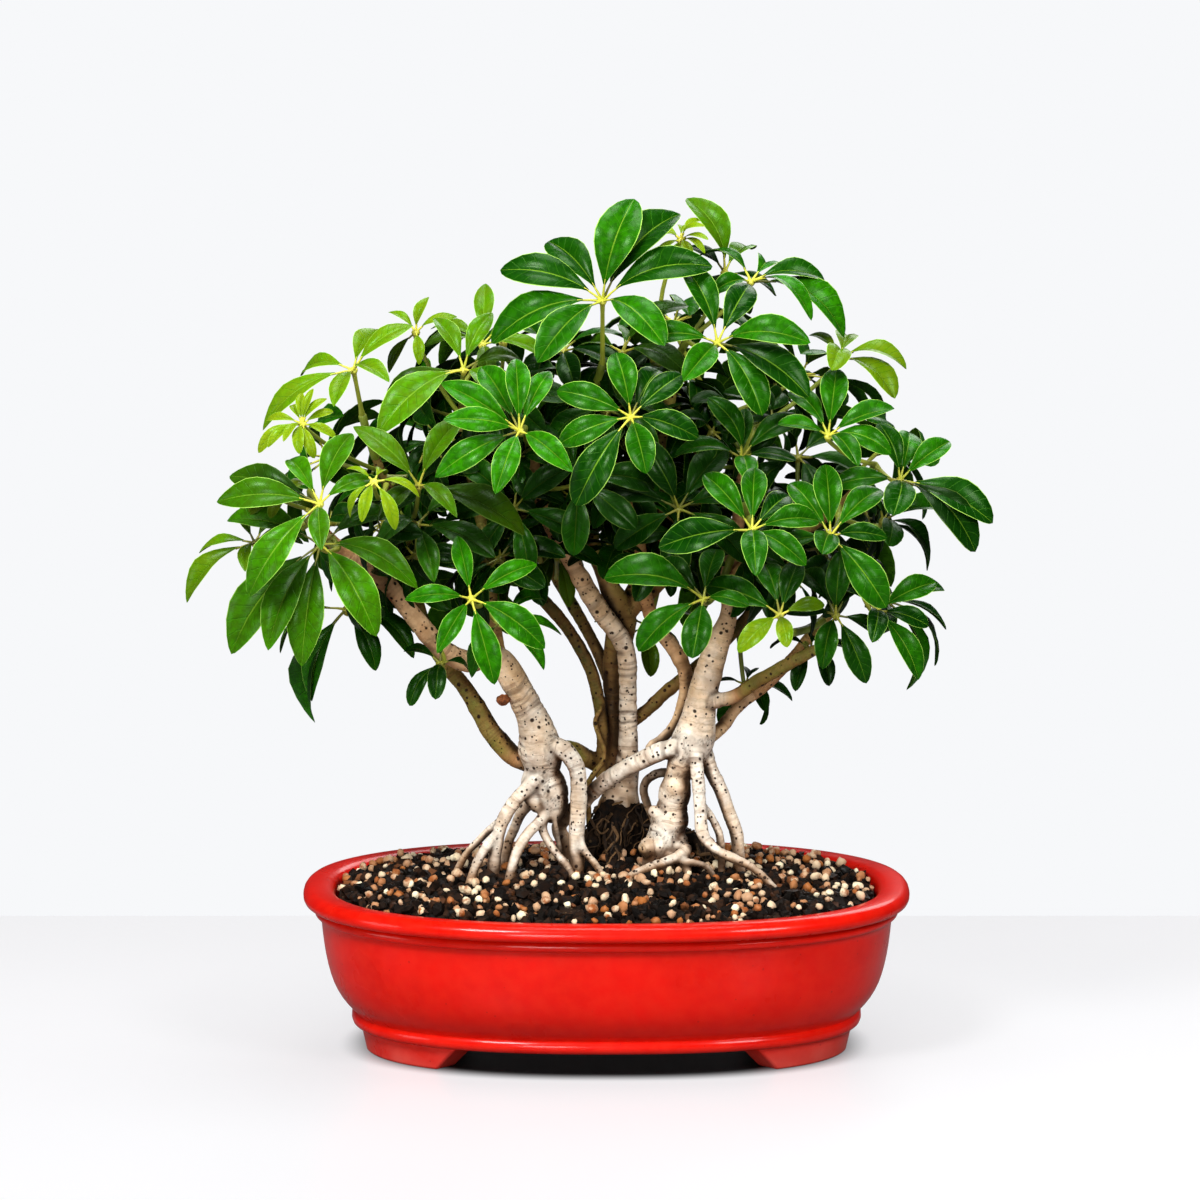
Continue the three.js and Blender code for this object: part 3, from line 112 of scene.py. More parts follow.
LEFT_TREE = {
    "main": [
        (-27, 114, -8, 5.5), (-27, 119, -8, 7.8), (-28.5, 127, -8, 9.4), (-30.5, 132, -8, 9.4),
        (-31.5, 136, -8, 8.6), (-32, 141, -8, 10), (-33, 148, -8, 11.2), (-37, 163, -8, 8.2),
        (-47, 183, -9, 6.8), (-53, 193, -10, 6.1), (-60, 194, -12, 5.7), (-70, 192, -14, 5.4),
        (-83, 199, -16, 5), (-96, 214, -19, 4.7), (-108, 229, -22, 4.4), (-121, 240, -25, 4.1),
        (-133, 248, -27, 3.8), (-143, 259, -28, 3.4), (-147, 272, -28, 3),
    ],
    "second": [
        (-35, 140, -2, 5), (-46, 144, 1, 5), (-57, 156, 3, 5), (-63, 166, 5, 4.7), (-72, 180, 8, 4.2),
        (-83, 193, 11, 3.7), (-91, 210, 14, 3.4), (-96, 228, 16, 3.2), (-98, 243, 17, 3),
        (-101, 258, 18, 2.8), (-108, 275, 18, 2.6), (-116, 295, 16, 2.3),
    ],
    "shoulder": [(-33, 138, -9, 7), (-36, 131, -10, 6.8), (-36.5, 124, -11, 5.4), (-34, 119, -11, 4)],
    "twig": [
        (-53, 191, -6, 4), (-55, 203, 2, 3.7), (-59, 232, 8, 3.5), (-63, 262, 12, 3.4),
        (-68, 288, 13, 3.1), (-71, 305, 13, 2.8), (-72, 322, 12, 2.4),
    ],
    "root_front": [
        (-32, 152, -12, 5), (-22, 148, -14, 4.7), (-16, 141, -15, 4.5), (-14, 134, -16, 4.3),
        (-14, 118, -16, 4.1), (-15, 105, -16, 4), (-15, 92, -16, 4), (-15, 78, -16, 3.6),
    ],
    "root_left": [
        (-33, 135, -12, 5), (-39, 129, -15, 3.8), (-45, 123, -17, 3.5), (-51, 114, -18, 3.4),
        (-54, 105, -18, 3.3), (-56, 93, -18, 3.2), (-57, 78, -18, 3),
    ],
    "root_far_left": [
        (-54, 106, -18, 2.6), (-58, 102, -20, 2.5), (-62, 96, -22, 2.5), (-66, 88, -24, 2.3),
        (-70, 74, -25, 2.2),
    ],
    "root_outer": [
        (-53, 112, -15, 2.3), (-58, 108, -13, 2.1), (-64, 102, -12, 2), (-71, 94, -11, 2),
        (-78, 80, -11, 1.9),
    ],
    "root_back": [
        (-34, 124, -2, 3.6), (-42, 117, 3, 2.8), (-46, 108, 6, 2.6), (-50, 98, 8, 2.5), (-53, 80, 9, 2.4),
    ],
    "root_cross": [
        (-29, 117, -12, 3.6), (-34, 111, -17, 3), (-39, 106, -20, 2.9), (-45, 96, -22, 2.7),
        (-50, 76, -24, 2.5),
    ],
    "root_inner": [
        (-30, 117, -12, 3.4), (-32, 108, -15, 2.4), (-26, 97, -19, 2.3), (-19, 88, -22, 2.2),
        (-14, 74, -24, 2),
    ],
    "root_thin": [
        (-27, 120, -14, 2.2), (-26, 112, -14, 1.5), (-24, 101, -13, 1.4), (-23, 94, -13, 1.4),
        (-22, 80, -13, 1.3),
    ],
    "root_spur": [(-14, 104, -17, 2.4), (-11, 97, -20, 1.9), (-4, 88, -23, 1.8), (2, 74, -25, 1.7)],
}

RIGHT_TREE = {
    "main": [
        (28, 78, -5, 10), (28.5, 90, -5, 10.4), (29.5, 98, -5, 10.4), (30, 103, -5, 10),
        (30.5, 107.5, -5, 8.8), (31.7, 113, -5, 9.7), (33, 120, -5, 8), (34.3, 127, -6, 8.5),
        (35.5, 134, -6, 6.6), (38.5, 141, -6, 8.8), (42.5, 151, -5, 10.7), (45, 161, -4, 9.3),
        (47, 171, -4, 7.9), (51, 186, -4, 7.1), (54.7, 199, -3, 6.4), (61, 215, -2, 4.3),
        (61, 235, 0, 3.9), (63, 246, 2, 3.7), (66, 264, 4, 3.4), (68, 283, 5, 3.1), (69, 296, 5, 2.8),
    ],
    "knob": [(36, 129, -6, 6), (35.4, 129.4, -10, 7), (35.2, 129.6, -11.6, 6.4), (35.1, 129.7, -12.4, 5)],
    "bump": [(30, 113, -8, 5), (25, 116, -9, 3.6), (22.6, 117.6, -9, 2.6)],
    "burl": [(27, 98, -8, 8), (22, 98.5, -10, 6.2), (19.4, 97, -11, 4.6)],
    "side": [
        (60, 222, -1, 3.6), (66, 237, -3, 3.2), (79, 246, -5, 3.1), (99, 257, -8, 2.9),
        (117, 270, -11, 2.6), (129, 283, -12, 2.3),
    ],
    "cut_branch": [
        (52, 172, -7, 4), (63, 174, -11, 3.5), (74, 181, -14, 3.4), (88, 189, -16, 3.2),
        (105, 198, -18, 2.9),
    ],
    "rear": [
        (48, 152, 0, 4), (57, 158, 8, 3.3), (66, 169, 13, 3.1), (79, 179, 16, 3), (92, 192, 18, 2.9),
        (104, 207, 18, 2.7), (117, 222, 17, 2.5), (124, 238, 15, 2.3),
    ],
    "inner": [
        (36, 145, 0, 3.4), (24, 146, 8, 2.7), (22, 149, 10, 2.7), (29, 154, 11, 2.8), (36, 163, 12, 3.1),
        (40, 178, 13, 3.5), (39, 188, 13, 3.8), (33, 199, 14, 4), (24, 211, 15, 4), (19, 227, 13, 3.6),
        (17, 247, 10, 3.3), (15, 267, 5, 3), (13, 287, 0, 2.7),
    ],
    "root_arch": [
        (38, 149, -9, 5.5), (30, 148, -10, 4.7), (15, 141, -7, 4.5), (4, 135, -4, 4.4),
        (-6, 127, -1, 4.3), (-12, 121, 1, 4.2), (-19, 115, 3, 4.1), (-24, 109, 4, 4), (-22, 103, 4, 4),
        (-19, 97, 4, 3.9), (-17, 78, 4, 3.6),
    ],
    "root_right": [
        (44, 152, -10, 4.2), (45, 141, -15, 3.6), (46, 130, -16, 3.4), (47, 117, -17, 3.2),
        (48, 106, -18, 3), (54, 98, -20, 2.7), (64, 93, -22, 2.4), (74, 88, -25, 2.1), (86, 76, -28, 1.8),
    ],
    "root_outer": [
        (48, 150, -5, 5), (52, 138, -6, 3.9), (57, 128, -7, 3.7), (61, 117, -8, 3.6), (65, 106, -8, 3.5),
        (66, 96, -8, 3.4), (67, 78, -8, 3.2),
    ],
    "root_front": [
        (34, 99, -10, 4.4), (40, 97, -16, 3.2), (31, 92, -22, 2.8), (20, 88, -26, 2.4), (10, 83, -29, 2),
        (1, 71, -31, 1.7),
    ],
    "root_low": [(37, 103, -8, 4), (38, 94, -16, 2.5), (40, 88, -20, 2.3), (43, 74, -24, 2)],
    "root_flat": [
        (30, 96, -12, 3), (36, 92, -20, 2), (44, 91, -21, 1.8), (51, 88, -20, 1.7), (58, 76, -19, 1.6),
    ],
    "root_loop": [
        (34, 135, -2, 3), (27, 136, 2, 2.6), (20.5, 132.5, 5, 2.3), (18.6, 127, 7, 2.2),
        (20.5, 120, 8, 2.2), (24, 111, 8, 2.2), (27, 96, 6, 2),
    ],
    "root_short": [
        (47, 120, -15, 2.6), (51, 116, -13, 2.2), (55, 109, -13, 2.1), (57, 102, -13, 2.1),
        (58, 80, -13, 1.9),
    ],
}

CENTRE_TREE = {
    "main": [
        (7, 78, 24, 11), (6.6, 97, 24, 12), (6.4, 112, 24, 12.2), (6.8, 120, 24, 11), (8, 127, 24, 8.4),
        (9.6, 133, 24, 6.8), (10.5, 140, 24, 6), (10.8, 155, 24, 4.9), (10.8, 169, 23, 4.7),
        (10.5, 191, 22, 4.8), (7, 203, 22, 5), (-4, 218, 22, 5), (-11, 230, 22, 4.8), (-18, 243, 21, 4.5),
        (-25, 255, 20, 4.3), (-31, 267, 18, 4), (-35, 280, 15, 3.7), (-38, 300, 10, 3),
    ],
    "back": [
        (6, 135, 27, 5), (3, 152, 34, 4.4), (3, 172, 37, 4.2), (3, 190, 38, 5), (7, 207, 38, 7.6),
        (6, 217, 38, 7.8), (1, 230, 37, 5.2), (-4, 243, 37, 4.2), (-8, 255, 36, 3.7), (-11, 267, 34, 3.4),
        (-12, 287, 30, 3.2), (-11, 308, 24, 2.9), (-8, 325, 16, 2.6),
    ],
    "stub": [(-2, 138, 31, 4), (-8, 142, 30, 4.9), (-15, 145.5, 29, 5.2), (-21, 148, 28, 4.2)],
    "aerial": [
        (-2.6, 168, 26, 1.2), (-5.8, 161.5, 23, 1.3), (-3.4, 153.5, 22, 1.4), (-1.2, 147.5, 21, 1.4),
        (-1.8, 141.5, 19, 1.5), (-5.4, 136.5, 17, 1.6), (-9, 130, 15, 1.7), (-9, 118, 15, 1.6),
        (-8, 96, 16, 1.5),
    ],
    "dark": [
        (6, 128, 28, 4), (-2, 134, 29, 3.4), (-2, 145, 29, 3.3), (-2, 157, 29, 3.4), (-4, 172, 30, 3.5),
        (-7, 185, 30, 3.5), (-12, 196, 31, 3.4), (-18, 206, 32, 3.3), (-24, 214, 33, 3.3),
        (-33, 224, 34, 3.2), (-42, 235, 35, 3.1), (-52, 250, 36, 2.8), (-57, 268, 37, 2.5),
    ],
    "right": [
        (7, 213, 38, 5), (16, 222, 38, 4.8), (26, 232, 38, 4.9), (33, 243, 36, 5), (30, 258, 34, 5.2),
        (27, 283, 30, 4.7), (28, 302, 28, 3.8), (32, 325, 26, 3), (34, 345, 22, 2.5),
    ],
    "low_right": [
        (10, 160, 27, 3.8), (20, 167, 30, 3.4), (31, 177, 32, 3.3), (44, 188, 34, 3.2),
        (58, 200, 37, 3.1), (77, 222, 42, 2.8), (90, 242, 46, 2.6), (97, 262, 48, 2.4),
    ],
    "far_left": [
        (3, 180, 40, 4), (-6, 200, 48, 3.3), (-20, 225, 60, 3), (-36, 252, 70, 2.7), (-48, 278, 74, 2.4),
    ],
    "far_right": [
        (8, 214, 44, 4), (14, 230, 54, 3.3), (26, 252, 66, 3), (38, 275, 74, 2.7), (46, 298, 76, 2.4),
    ],
}

# Small forms on the trunks: the dry bud's place and half sizes in millimetres, and the cut end's rows
# of length and width as shares of its branch's radius
BUD_PLACE = (-51.6, 172.6, -15)
BUD_SIZE = (3.4, 3.2, 2.8)
CUT_END = [(0.0, 0.75), (0.45, 0.86), (0.62, 0.84), (0.7, 0.7)]

# Fine roots, in metres: how many there are, between which heights they start, the step of the clump's
# skin, and the place of the loop in millimetres with its reach and the number of its points
FINE_ROOTS = 210
FINE_ROOT_LOW = 0.083
FINE_ROOT_HIGH = 0.118
FINE_STEP = 0.0012
CLUMP_STEP = 0.0011
LOOP_PLACE = (-1.5, 109, 7.5)
LOOP_REACH = 3.2
LOOP_POINTS = 17

# Old dark roots and the soil they hold, between the three trunks, as limbs too
ROOT_MASS = {
    "core": [(7, 80, 22, 15), (7, 98, 22, 13), (7, 109, 22, 13.8), (7, 116, 22, 12)],
    "left": [(3, 121, 17, 2.4), (-2, 116, 14, 3), (-6, 108, 12, 3.6), (-9, 97, 10, 4), (-12, 82, 7, 4)],
    "front": [(7, 119, 15, 2.6), (5, 112, 11, 3.6), (4, 102, 8, 4.4), (3, 92, 3, 4.2), (3, 80, 0, 4)],
    "right": [(13, 119, 18, 2.8), (19, 114, 17, 3.2), (24, 103, 16, 3.6), (28, 82, 14, 4)],
    "behind": [(30, 104, 6, 4), (42, 102, 6, 4.4), (52, 96, 2, 4), (58, 80, 0, 4)],
}

LIMB_TABLES = {"left": LEFT_TREE, "centre": CENTRE_TREE, "right": RIGHT_TREE}

# Limbs, in metres: distance between the points of a smooth path, steps of the curve between two rows
# of the table, the radius from which a limb has more sides, and how many sides it has
PATH_STEP = 0.0022
CURVE_STEPS = 12
THICK_LIMB = 0.006
KNUCKLE_SIDES = 20
THIN_SIDES = 12

# How the bark looks at evenly spaced places along a limb: 0 cream, 0.3 tan, 0.6 olive, 0.9 dark olive
CREAM_ROOT = (0.0, 0.03, 0.06)
LIMB_TONES = {
    "left": {
        "main": (0.0, 0.03, 0.12, 0.22, 0.28, 0.32, 0.34),
        "second": (0.08, 0.56, 0.6, 0.62, 0.64, 0.66, 0.7, 0.76, 0.8, 0.82),
        "twig": (0.4, 0.6, 0.8),
    },
    "right": {
        "main": (0.0, 0.02, 0.05, 0.16, 0.3, 0.45), "side": (0.4, 0.6, 0.8),
        "cut_branch": (0.0, 0.08, 0.6, 0.66, 0.68, 0.66, 0.64),
        "rear": (0.08, 0.4, 0.75), "inner": (0.06, 0.3, 0.5), "knob": (0.0, 0.02, 0.04),
        "bump": (0.0, 0.02, 0.04), "burl": (0.0, 0.05, 0.16),
    },
    "centre": {
        "main": (0.08, 0.06, 0.05, 0.1, 0.3, 0.48), "back": (0.5, 0.55, 0.58, 0.6),
        "dark": (0.6, 0.86, 0.92), "right": (0.5, 0.53, 0.66), "low_right": (0.7, 0.85, 0.92),
        "far_left": (0.5, 0.7, 0.85), "far_right": (0.5, 0.7, 0.85), "stub": (0.62, 0.56, 0.6),
        "aerial": (0.5, 0.6, 0.7),
    },
}

# How creased the bark is at evenly spaced places along a limb, from 0 to 1
PLAIN_CREASES = (0.6, 0.35, 0.3, 0.3)
LIMB_CREASES = {
    "left": {"main": (0.9, 1.0, 0.25, 0.2, 0.3, 0.3)},
    "right": {
        "main": (1.0, 1.0, 0.3, 0.2, 0.3, 0.3), "knob": (1.0, 0.7, 0.3), "burl": (1.0, 0.8, 0.5),
        "root_arch": (0.9, 0.5, 0.4, 0.4), "root_front": (0.9, 0.6, 0.4),
    },
    "centre": {"main": (1.0, 0.9, 0.4, 0.3), "stub": (0.6, 0.8, 1.0)},
}
CREASE_DEPTH = 0.5 * MM

# How far the bark has to lie below its smoothed shape to count as hollow, in metres
HOLLOW_LOW = 0.00001
HOLLOW_HIGH = 0.00022

# Painted shade on the bark: rays that find what hides it from the light, how far they reach, how dark
# an underside is painted, and the shares of met rays at which the painted shade starts and stops
HIDDEN_RAYS = 3
HIDDEN_REACH = 0.022
UNDER_DARK = 0.3
HIDDEN_LOW = 0.07
HIDDEN_HIGH = 0.59

# Each shoot's tree, limb and share of the limb's length where it grows out, and where it forks
SHOOT_ROOTS = {
    "shoot_top": ("centre", "back", 0.99, (-2, 340, 0)),
    "shoot_face_left": ("centre", "main", 0.99, (-41, 308, -25)),
    "shoot_face_right": ("right", "inner", 0.99, (14, 300, -25)),
    "shoot_upper_right": ("centre", "right", 0.99, (40, 352, 2)),
    "shoot_upper_left": ("left", "second", 0.99, (-122, 315, 4)),
    "shoot_crown_left": ("left", "twig", 0.99, (-73, 328, 0)),
    "shoot_left_face": ("left", "main", 0.995, (-147, 277, -45)),
    "shoot_left_tip": ("left", "main", 0.965, (-160, 254, -32)),
    "shoot_left_low": ("left", "main", 0.93, (-134, 248, -36)),
    "shoot_left_under": ("left", "main", 0.85, (-120, 230, -14)),
    "shoot_inner_left": ("left", "second", 0.86, (-97, 262, -5)),
    "shoot_mid_left": ("left", "second", 0.72, (-95, 246, -8)),
    "shoot_low_left_face": ("left", "twig", 0.35, (-62, 220, -28)),
    "shoot_twig_leaf": ("left", "main", 0.55, None),
    "shoot_right_top": ("right", "main", 0.99, (74, 308, -6)),
    "shoot_right_face": ("right", "main", 0.9, (72, 262, -30)),
    "shoot_right_end": ("right", "side", 0.99, (134, 290, -14)),
    "shoot_right_outer": ("right", "side", 0.8, (116, 264, -28)),
    "shoot_right_low_end": ("right", "rear", 0.99, (124, 238, -8)),
    "shoot_right_shade": ("right", "rear", 0.86, (112, 222, -10)),
    "shoot_right_mid": ("right", "rear", 0.74, (92, 206, -22)),
    "shoot_right_inner": ("right", "main", 0.77, (55, 226, -26)),
    "shoot_low_right": ("right", "rear", 0.62, None),
    "shoot_mid_low_right": ("centre", "low_right", 0.55, None),
    "shoot_pale_left": ("centre", "far_left", 0.55, None),
    "shoot_pale_mid": ("centre", "right", 0.2, None),
    "shoot_core_left": ("left", "twig", 0.7, None),
    "shoot_core_mid": ("centre", "main", 0.9, None),
    "shoot_core_right": ("centre", "right", 0.62, None),
    "shoot_core_far_left": ("left", "second", 0.9, None),
    "shoot_core_far_right": ("right", "side", 0.55, None),
    "shoot_core_low": ("centre", "low_right", 0.8, None),
    "shoot_back_left": ("centre", "far_left", 0.99, (-62, 296, 88)),
    "shoot_back_right": ("centre", "far_right", 0.99, (60, 316, 88)),
    "shoot_back_far_left": ("centre", "dark", 0.99, (-92, 282, 62)),
    "shoot_back_far_right": ("centre", "low_right", 0.99, (112, 272, 60)),
    "shoot_back_low_left": ("centre", "far_left", 0.72, None),
    "shoot_back_low_right": ("centre", "far_right", 0.6, None),
    "shoot_back_mid": ("centre", "far_right", 0.4, None),
    "shoot_young_crown": ("centre", "right", 0.93, None),
    "shoot_young_left": ("left", "twig", 0.93, None),
    "shoot_young_edge": ("left", "second", 0.95, None),
    "shoot_young_droop": ("left", "second", 0.91, None),
    "shoot_young_shade": ("left", "main", 0.98, None),
}

# How dark the leaves of some shoots are, by a part of the shoot's name, and how lime
SHADES = {"core": 0.6, "back": 0.2, "shade": 0.3, "low_right": 0.35, "inner": 0.3, "twig_leaf": 0.1}
YOUNG_PALE = 0.95
# Partly painted light: shoots on the left side of the crown get lime as if more lit
PALE = {
    "shoot_pale_left": 0.5, "shoot_pale_mid": 0.35, "shoot_upper_left": 0.5, "shoot_crown_left": 0.3,
    "shoot_young_left": 0.65, "shoot_left_tip": 0.42, "shoot_inner_left": 0.34, "shoot_left_low": 0.14,
    "shoot_left_face": 0.12, "shoot_mid_left": 0.08,
}
# Leaflets paler than the rest of their shoot, those with their hub or tip within reach of a place:
# place, reach and how pale
PALE_SPOTS = [
    ((116, 343, -16), 4, 0.5), ((-62, 350, 8), 4, 0.4), ((65, 197, -88), 6, 0.75),
    ((89, 199, -92), 6, 0.8), ((108, 221, -66), 6, 0.6), ((42, 424, 22), 6, 0.22),
    ((73, 398, 40), 6, 0.22), ((8, 346, 4), 4, 0.15),
]

# Shoots that get more leaflets, how much longer and narrower these are, how slim, and the widest angle
# between two leaflets that still gets one more between them; and how much narrower drooping ones are
CROWDED_SHOOTS = ("shoot_young_edge", "shoot_young_crown")
CROWDED_LENGTH = 1.12
CROWDED_WIDTH = 0.84
CROWDED_SLIM = 0.4
WIDEST_GAP = 2.2
DROOPING_WIDTH = 0.7

# Places of whorls in the crown that are listed one by one: x, h, y, and how dark
SET_WHORLS = [
    (-22, 347, 22, 0.35), (2, 338, 24, 0.45), (24, 344, 30, 0.4), (-40, 336, 26, 0.45),
    (-10, 322, 40, 0.5), (14, 318, 52, 0.4), (-14, 306, 66, 0.35), (8, 300, 76, 0.3),
    (-2, 286, 84, 0.3), (20, 292, 90, 0.3), (64, 314, 26, 0.45), (-80, 290, 34, 0.4),
    (-70, 306, 22, 0.45),
]

# The crown's inside, that the other whorls fill: its middle, its half width and half height seen from
# the front, its lowest whorl, how near each other and how near the leaves above them whorls may be, the
# lowest part of a limb that bears them, and how many places are tried at most
CROWN_MIDDLE = POT_MIDDLE + Vector((0, 10, 240)) * MM
CROWN_HALF_WIDTH = 0.15
CROWN_HALF_HEIGHT = 0.112
LOWEST_WHORL = 0.235
WHORL_GAP = 0.0185
ROOF_REACH = 0.045
ROOF_GAP = 0.012
LOWEST_TWIG = 0.19
MOST_TRIES = 20000

# Shares of a leaflet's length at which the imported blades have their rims, and how wide they are there,
# as a share of the leaflet's width
RIM_SHARES = (0.42, 0.76)
RIM_WIDTH = 0.92

# Leaflets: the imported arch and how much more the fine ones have, the share of a leaflet that is stalk,
# and the sizes of hubs and stalks
LEAF_ARCH = 0.1
ARCH_SPREAD = (1.2, 2.5)
STALK_SHARE = 0.15
HUB_DEPTH = 3.2 * MM
PETIOLE_RADIUS = 1.25 * MM
SHOOT_RADIUS = 2.1 * MM

# A hub from its stalk to its dome: height over the hub's point and radius, in millimetres, and the short
# stalk of a leaflet: share of the leaflet and radius in millimetres
HUB_ROWS = [(-3.2, 1.2), (-2.2, 1.5), (-1, 2.05), (0, 2.25), (0.7, 1.8), (1.1, 0.8)]
PETIOLULE = [(0.015, 0.85), (0.09, 0.6), (STALK_SHARE + 0.05, 0.48)]

# A leaf stalk's bow: its start in the limb, where it bends most and how much, the ways in which the
# packed ones sway aside and up, and how near a packed stalk's points lie to the right one's
START_SHARE = 0.4
BOW_SHARE = 0.6
BOW_DEPTH = 0.16
SWAYS = [
    (0, 0), (0.12, 0), (-0.12, 0), (0, 0.12), (0, -0.12), (0.22, 0), (-0.22, 0), (0.2, 0.2),
    (-0.2, 0.2), (0.34, 0), (-0.34, 0),
]
STALK_FIT = 3e-5

# Rays that find how dusky it is at a leaflet, how far they reach, and how dark it gets there
DUSK_RAYS = 14
DUSK_REACH = 0.085
DUSK_DEPTH = 0.95

# A leaflet's outline from its stalk to its tip: share of the blade, and half width as a share of the
# widest half, for a blunt blade and for a slim pointed one
BLADE_OUTLINE = [
    (0, 0.06, 0.06), (0.07, 0.17, 0.2), (0.17, 0.38, 0.45), (0.29, 0.64, 0.72), (0.42, 0.86, 0.91),
    (0.55, 0.98, 1.0), (0.68, 1.0, 0.93), (0.81, 0.9, 0.7), (0.91, 0.68, 0.42), (0.97, 0.4, 0.19),
]
# Points across a blade from edge to edge, and how they swell beside the midrib
BLADE_COLUMNS = [-1, -0.62, -0.2, 0, 0.2, 0.62, 1]
BLADE_SWELL = [0, 0.105, 0.028, -0.063, 0.028, 0.105, 0]

# A shoot's material slots
TOP, UNDER, STALK, HUB = range(4)

# Stage, in metres
TABLE_SIZE = (3.6, 2.4)
TABLE_THICKNESS = 0.03
TABLE_BACK = POT_MIDDLE.y + 0.32
# Half sizes of the oval of painted shadow on the table under the pot
SHADOW_REACH = (0.13, 0.089)
WORLD_LIGHT = 0.1
WORLD_GLOSS = 0.06
CAMERA_LENS = 540
CAMERA_TARGET = (-3.25, 0, 226.4)
# Name, place, target, size and power of each lamp
LAMPS = [
    ("Key", (-0.85, -1.5, 1.85), (0, 0, 0.2), 0.7, 60),
    ("Fill", (1.3, -1.5, 1.4), (0, 0, 0.22), 0.8, 34),
    ("Front", (-0.5, -2.55, 0.5), (0, 0, 0.16), 0.7, 23),
    ("Side", (-2.0, -0.7, 0.5), (0, 0, 0.12), 0.9, 9),
    ("Top", (0.1, 0.1, 1.9), (0, 0, 0.2), 1.0, 24),
    ("Back", (0.5, 1.6, 1.3), (0, 0, 0.25), 1.1, 12),
]

# What one step leaves for the next: limb paths by tree, places of leaf hubs, and the leaf materials
LIMB_PATHS = {}
HUBS = []
LEAF_MATERIALS = []


def seen(x, h, y):
    """The place in the frame, in metres, of a point laid out from the front view in millimetres."""
    z = (h - y * math.sin(VIEW_TILT)) / math.cos(VIEW_TILT)
    return POT_MIDDLE + Vector((x, y, z)) * MM


def mix(a, b, share):
    """Straight between two values."""
    return a + (b - a) * share


def along_values(values, share):
    """Straight between evenly spaced values, at a share of the whole from 0 to 1."""
    place = min(max(share, 0.0), 1.0) * (len(values) - 1)
    k = min(int(place), len(values) - 2)
    return mix(values[k], values[k + 1], place - k)


def smoothstep(low, high, value):
    """From 0 to 1 between two limits, level where it meets them."""
    share = min(max((value - low) / (high - low), 0.0), 1.0)
    return share * share * (3 - 2 * share)


def random_vector(rng):
    """A vector with each part from -1 to 1."""
    return Vector((rng.uniform(-1, 1), rng.uniform(-1, 1), rng.uniform(-1, 1)))


def link_object(name, data):
    """A new object in the scene, with the given mesh, lamp or camera."""
    made = bpy.data.objects.new(name, data)
    bpy.context.scene.collection.objects.link(made)
    return made


def set_value(mesh, name, values):
    """A named value on each of the mesh's points."""
    mesh.attributes.new(name, "FLOAT", "POINT").data.foreach_set("value", values)


def ray_target(meshes):
    """Some meshes as one form, to cast rays at."""
    form = bmesh.new()
    for mesh in meshes:
        form.from_mesh(mesh)
    target = BVHTree.FromBMesh(form)
    form.free()
    return target


def finder_of(places):
    """Finds which of the places are nearest to a point."""
    finder = KDTree(len(places))
    for k, place in enumerate(places):
        finder.insert(place, k)
    finder.balance()
    return finder


class Skin:
    """Gathers the vertices and faces of one piece, with a UV and named values on each vertex."""

    def __init__(self, *names):
        self.points = []
        self.faces = []
        self.slots = []
        self.uv = []
        self.values = {name: [] for name in names}

    def add(self, points, faces, slot=0, uv=None, **values):
        """Adds points and faces. The slot and each value are one for all, or a list."""
        first = len(self.points)
        self.points += points
        self.faces += [tuple(first + i for i in face) for face in faces]
        self.slots += slot if isinstance(slot, list) else [slot] * len(faces)
        self.uv += uv or [(0.0, 0.0)] * len(points)
        for name, column in self.values.items():
            value = values.get(name, 0.0)
            column += value if isinstance(value, list) else [value] * len(points)

    def piece(self, name, materials, sharp=math.radians(50)):
        """A new object of all that was gathered. Edges bent by more than sharp stay edges."""
        mesh = bpy.data.meshes.new(name)
        mesh.from_pydata(self.points, [], self.faces)
        mesh.polygons.foreach_set("material_index", self.slots)
        layer = mesh.uv_layers.new(name="UVMap")
        corners = [0] * len(mesh.loops)
        mesh.loops.foreach_get("vertex_index", corners)
        layer.data.foreach_set("uv", [v for corner in corners for v in self.uv[corner]])
        for key, column in self.values.items():
            set_value(mesh, key, column)
        for material in materials:
            mesh.materials.append(material)
        mesh.shade_smooth()
        mesh.set_sharp_from_angle(angle=sharp)
        return link_object(name, mesh)


def finish_piece(piece, slot, *replaced):
    """The piece rides on the bonsai's one body, and stands for the named solids."""
    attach(piece, "root")
    if replaced:
        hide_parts(*replaced)
    return piece


def only(*objects):
    """Selects these objects alone, the first of them active."""
    bpy.ops.object.select_all(action="DESELECT")
    for item in objects:
        item.select_set(True)
    bpy.context.view_layer.objects.active = objects[0]


def apply_modifier(target, kind, **settings):
    """Puts a modifier on the object and applies it."""
    only(target)
    modifier = target.modifiers.new(kind.title(), kind)
    for key, value in settings.items():
        setattr(modifier, key, value)
    bpy.ops.object.modifier_apply(modifier=modifier.name)


def voxel_skin(target, step):
    """Makes one closed skin of all that the object holds."""
    apply_modifier(target, "REMESH", mode="VOXEL", voxel_size=step)


def catmull(values, share):
    """A point of the smooth curve through the values, at a share counted in spans."""
    last = len(values) - 1
    k = min(int(share), last - 1)
    t = share - k
    a, b, c, d = (values[min(max(k + i, 0), last)] for i in (-1, 0, 1, 2))
    return ((b * 2) + (c - a) * t + (a * 2 - b * 5 + c * 4 - d) * t * t
            + (b * 3 - a - c * 3 + d) * t * t * t) * 0.5


def smooth_path(points, radii, spacing):
    """Evenly spaced (point, radius, length so far) along the smooth curve through the points."""
    shares = [k / CURVE_STEPS for k in range((len(points) - 1) * CURVE_STEPS + 1)]
    curve = [(catmull(points, s), max(catmull(radii, s), min(radii) * 0.9)) for s in shares]
    made = [(curve[0][0], curve[0][1], 0.0)]
    length = 0.0
    for before, after in zip(curve, curve[1:]):
        length += (after[0] - before[0]).length
        if length - made[-1][2] >= spacing:
            made.append((after[0], after[1], length))
    if length - made[-1][2] > spacing * 0.3:
        made.append((curve[-1][0], curve[-1][1], length))
    return made


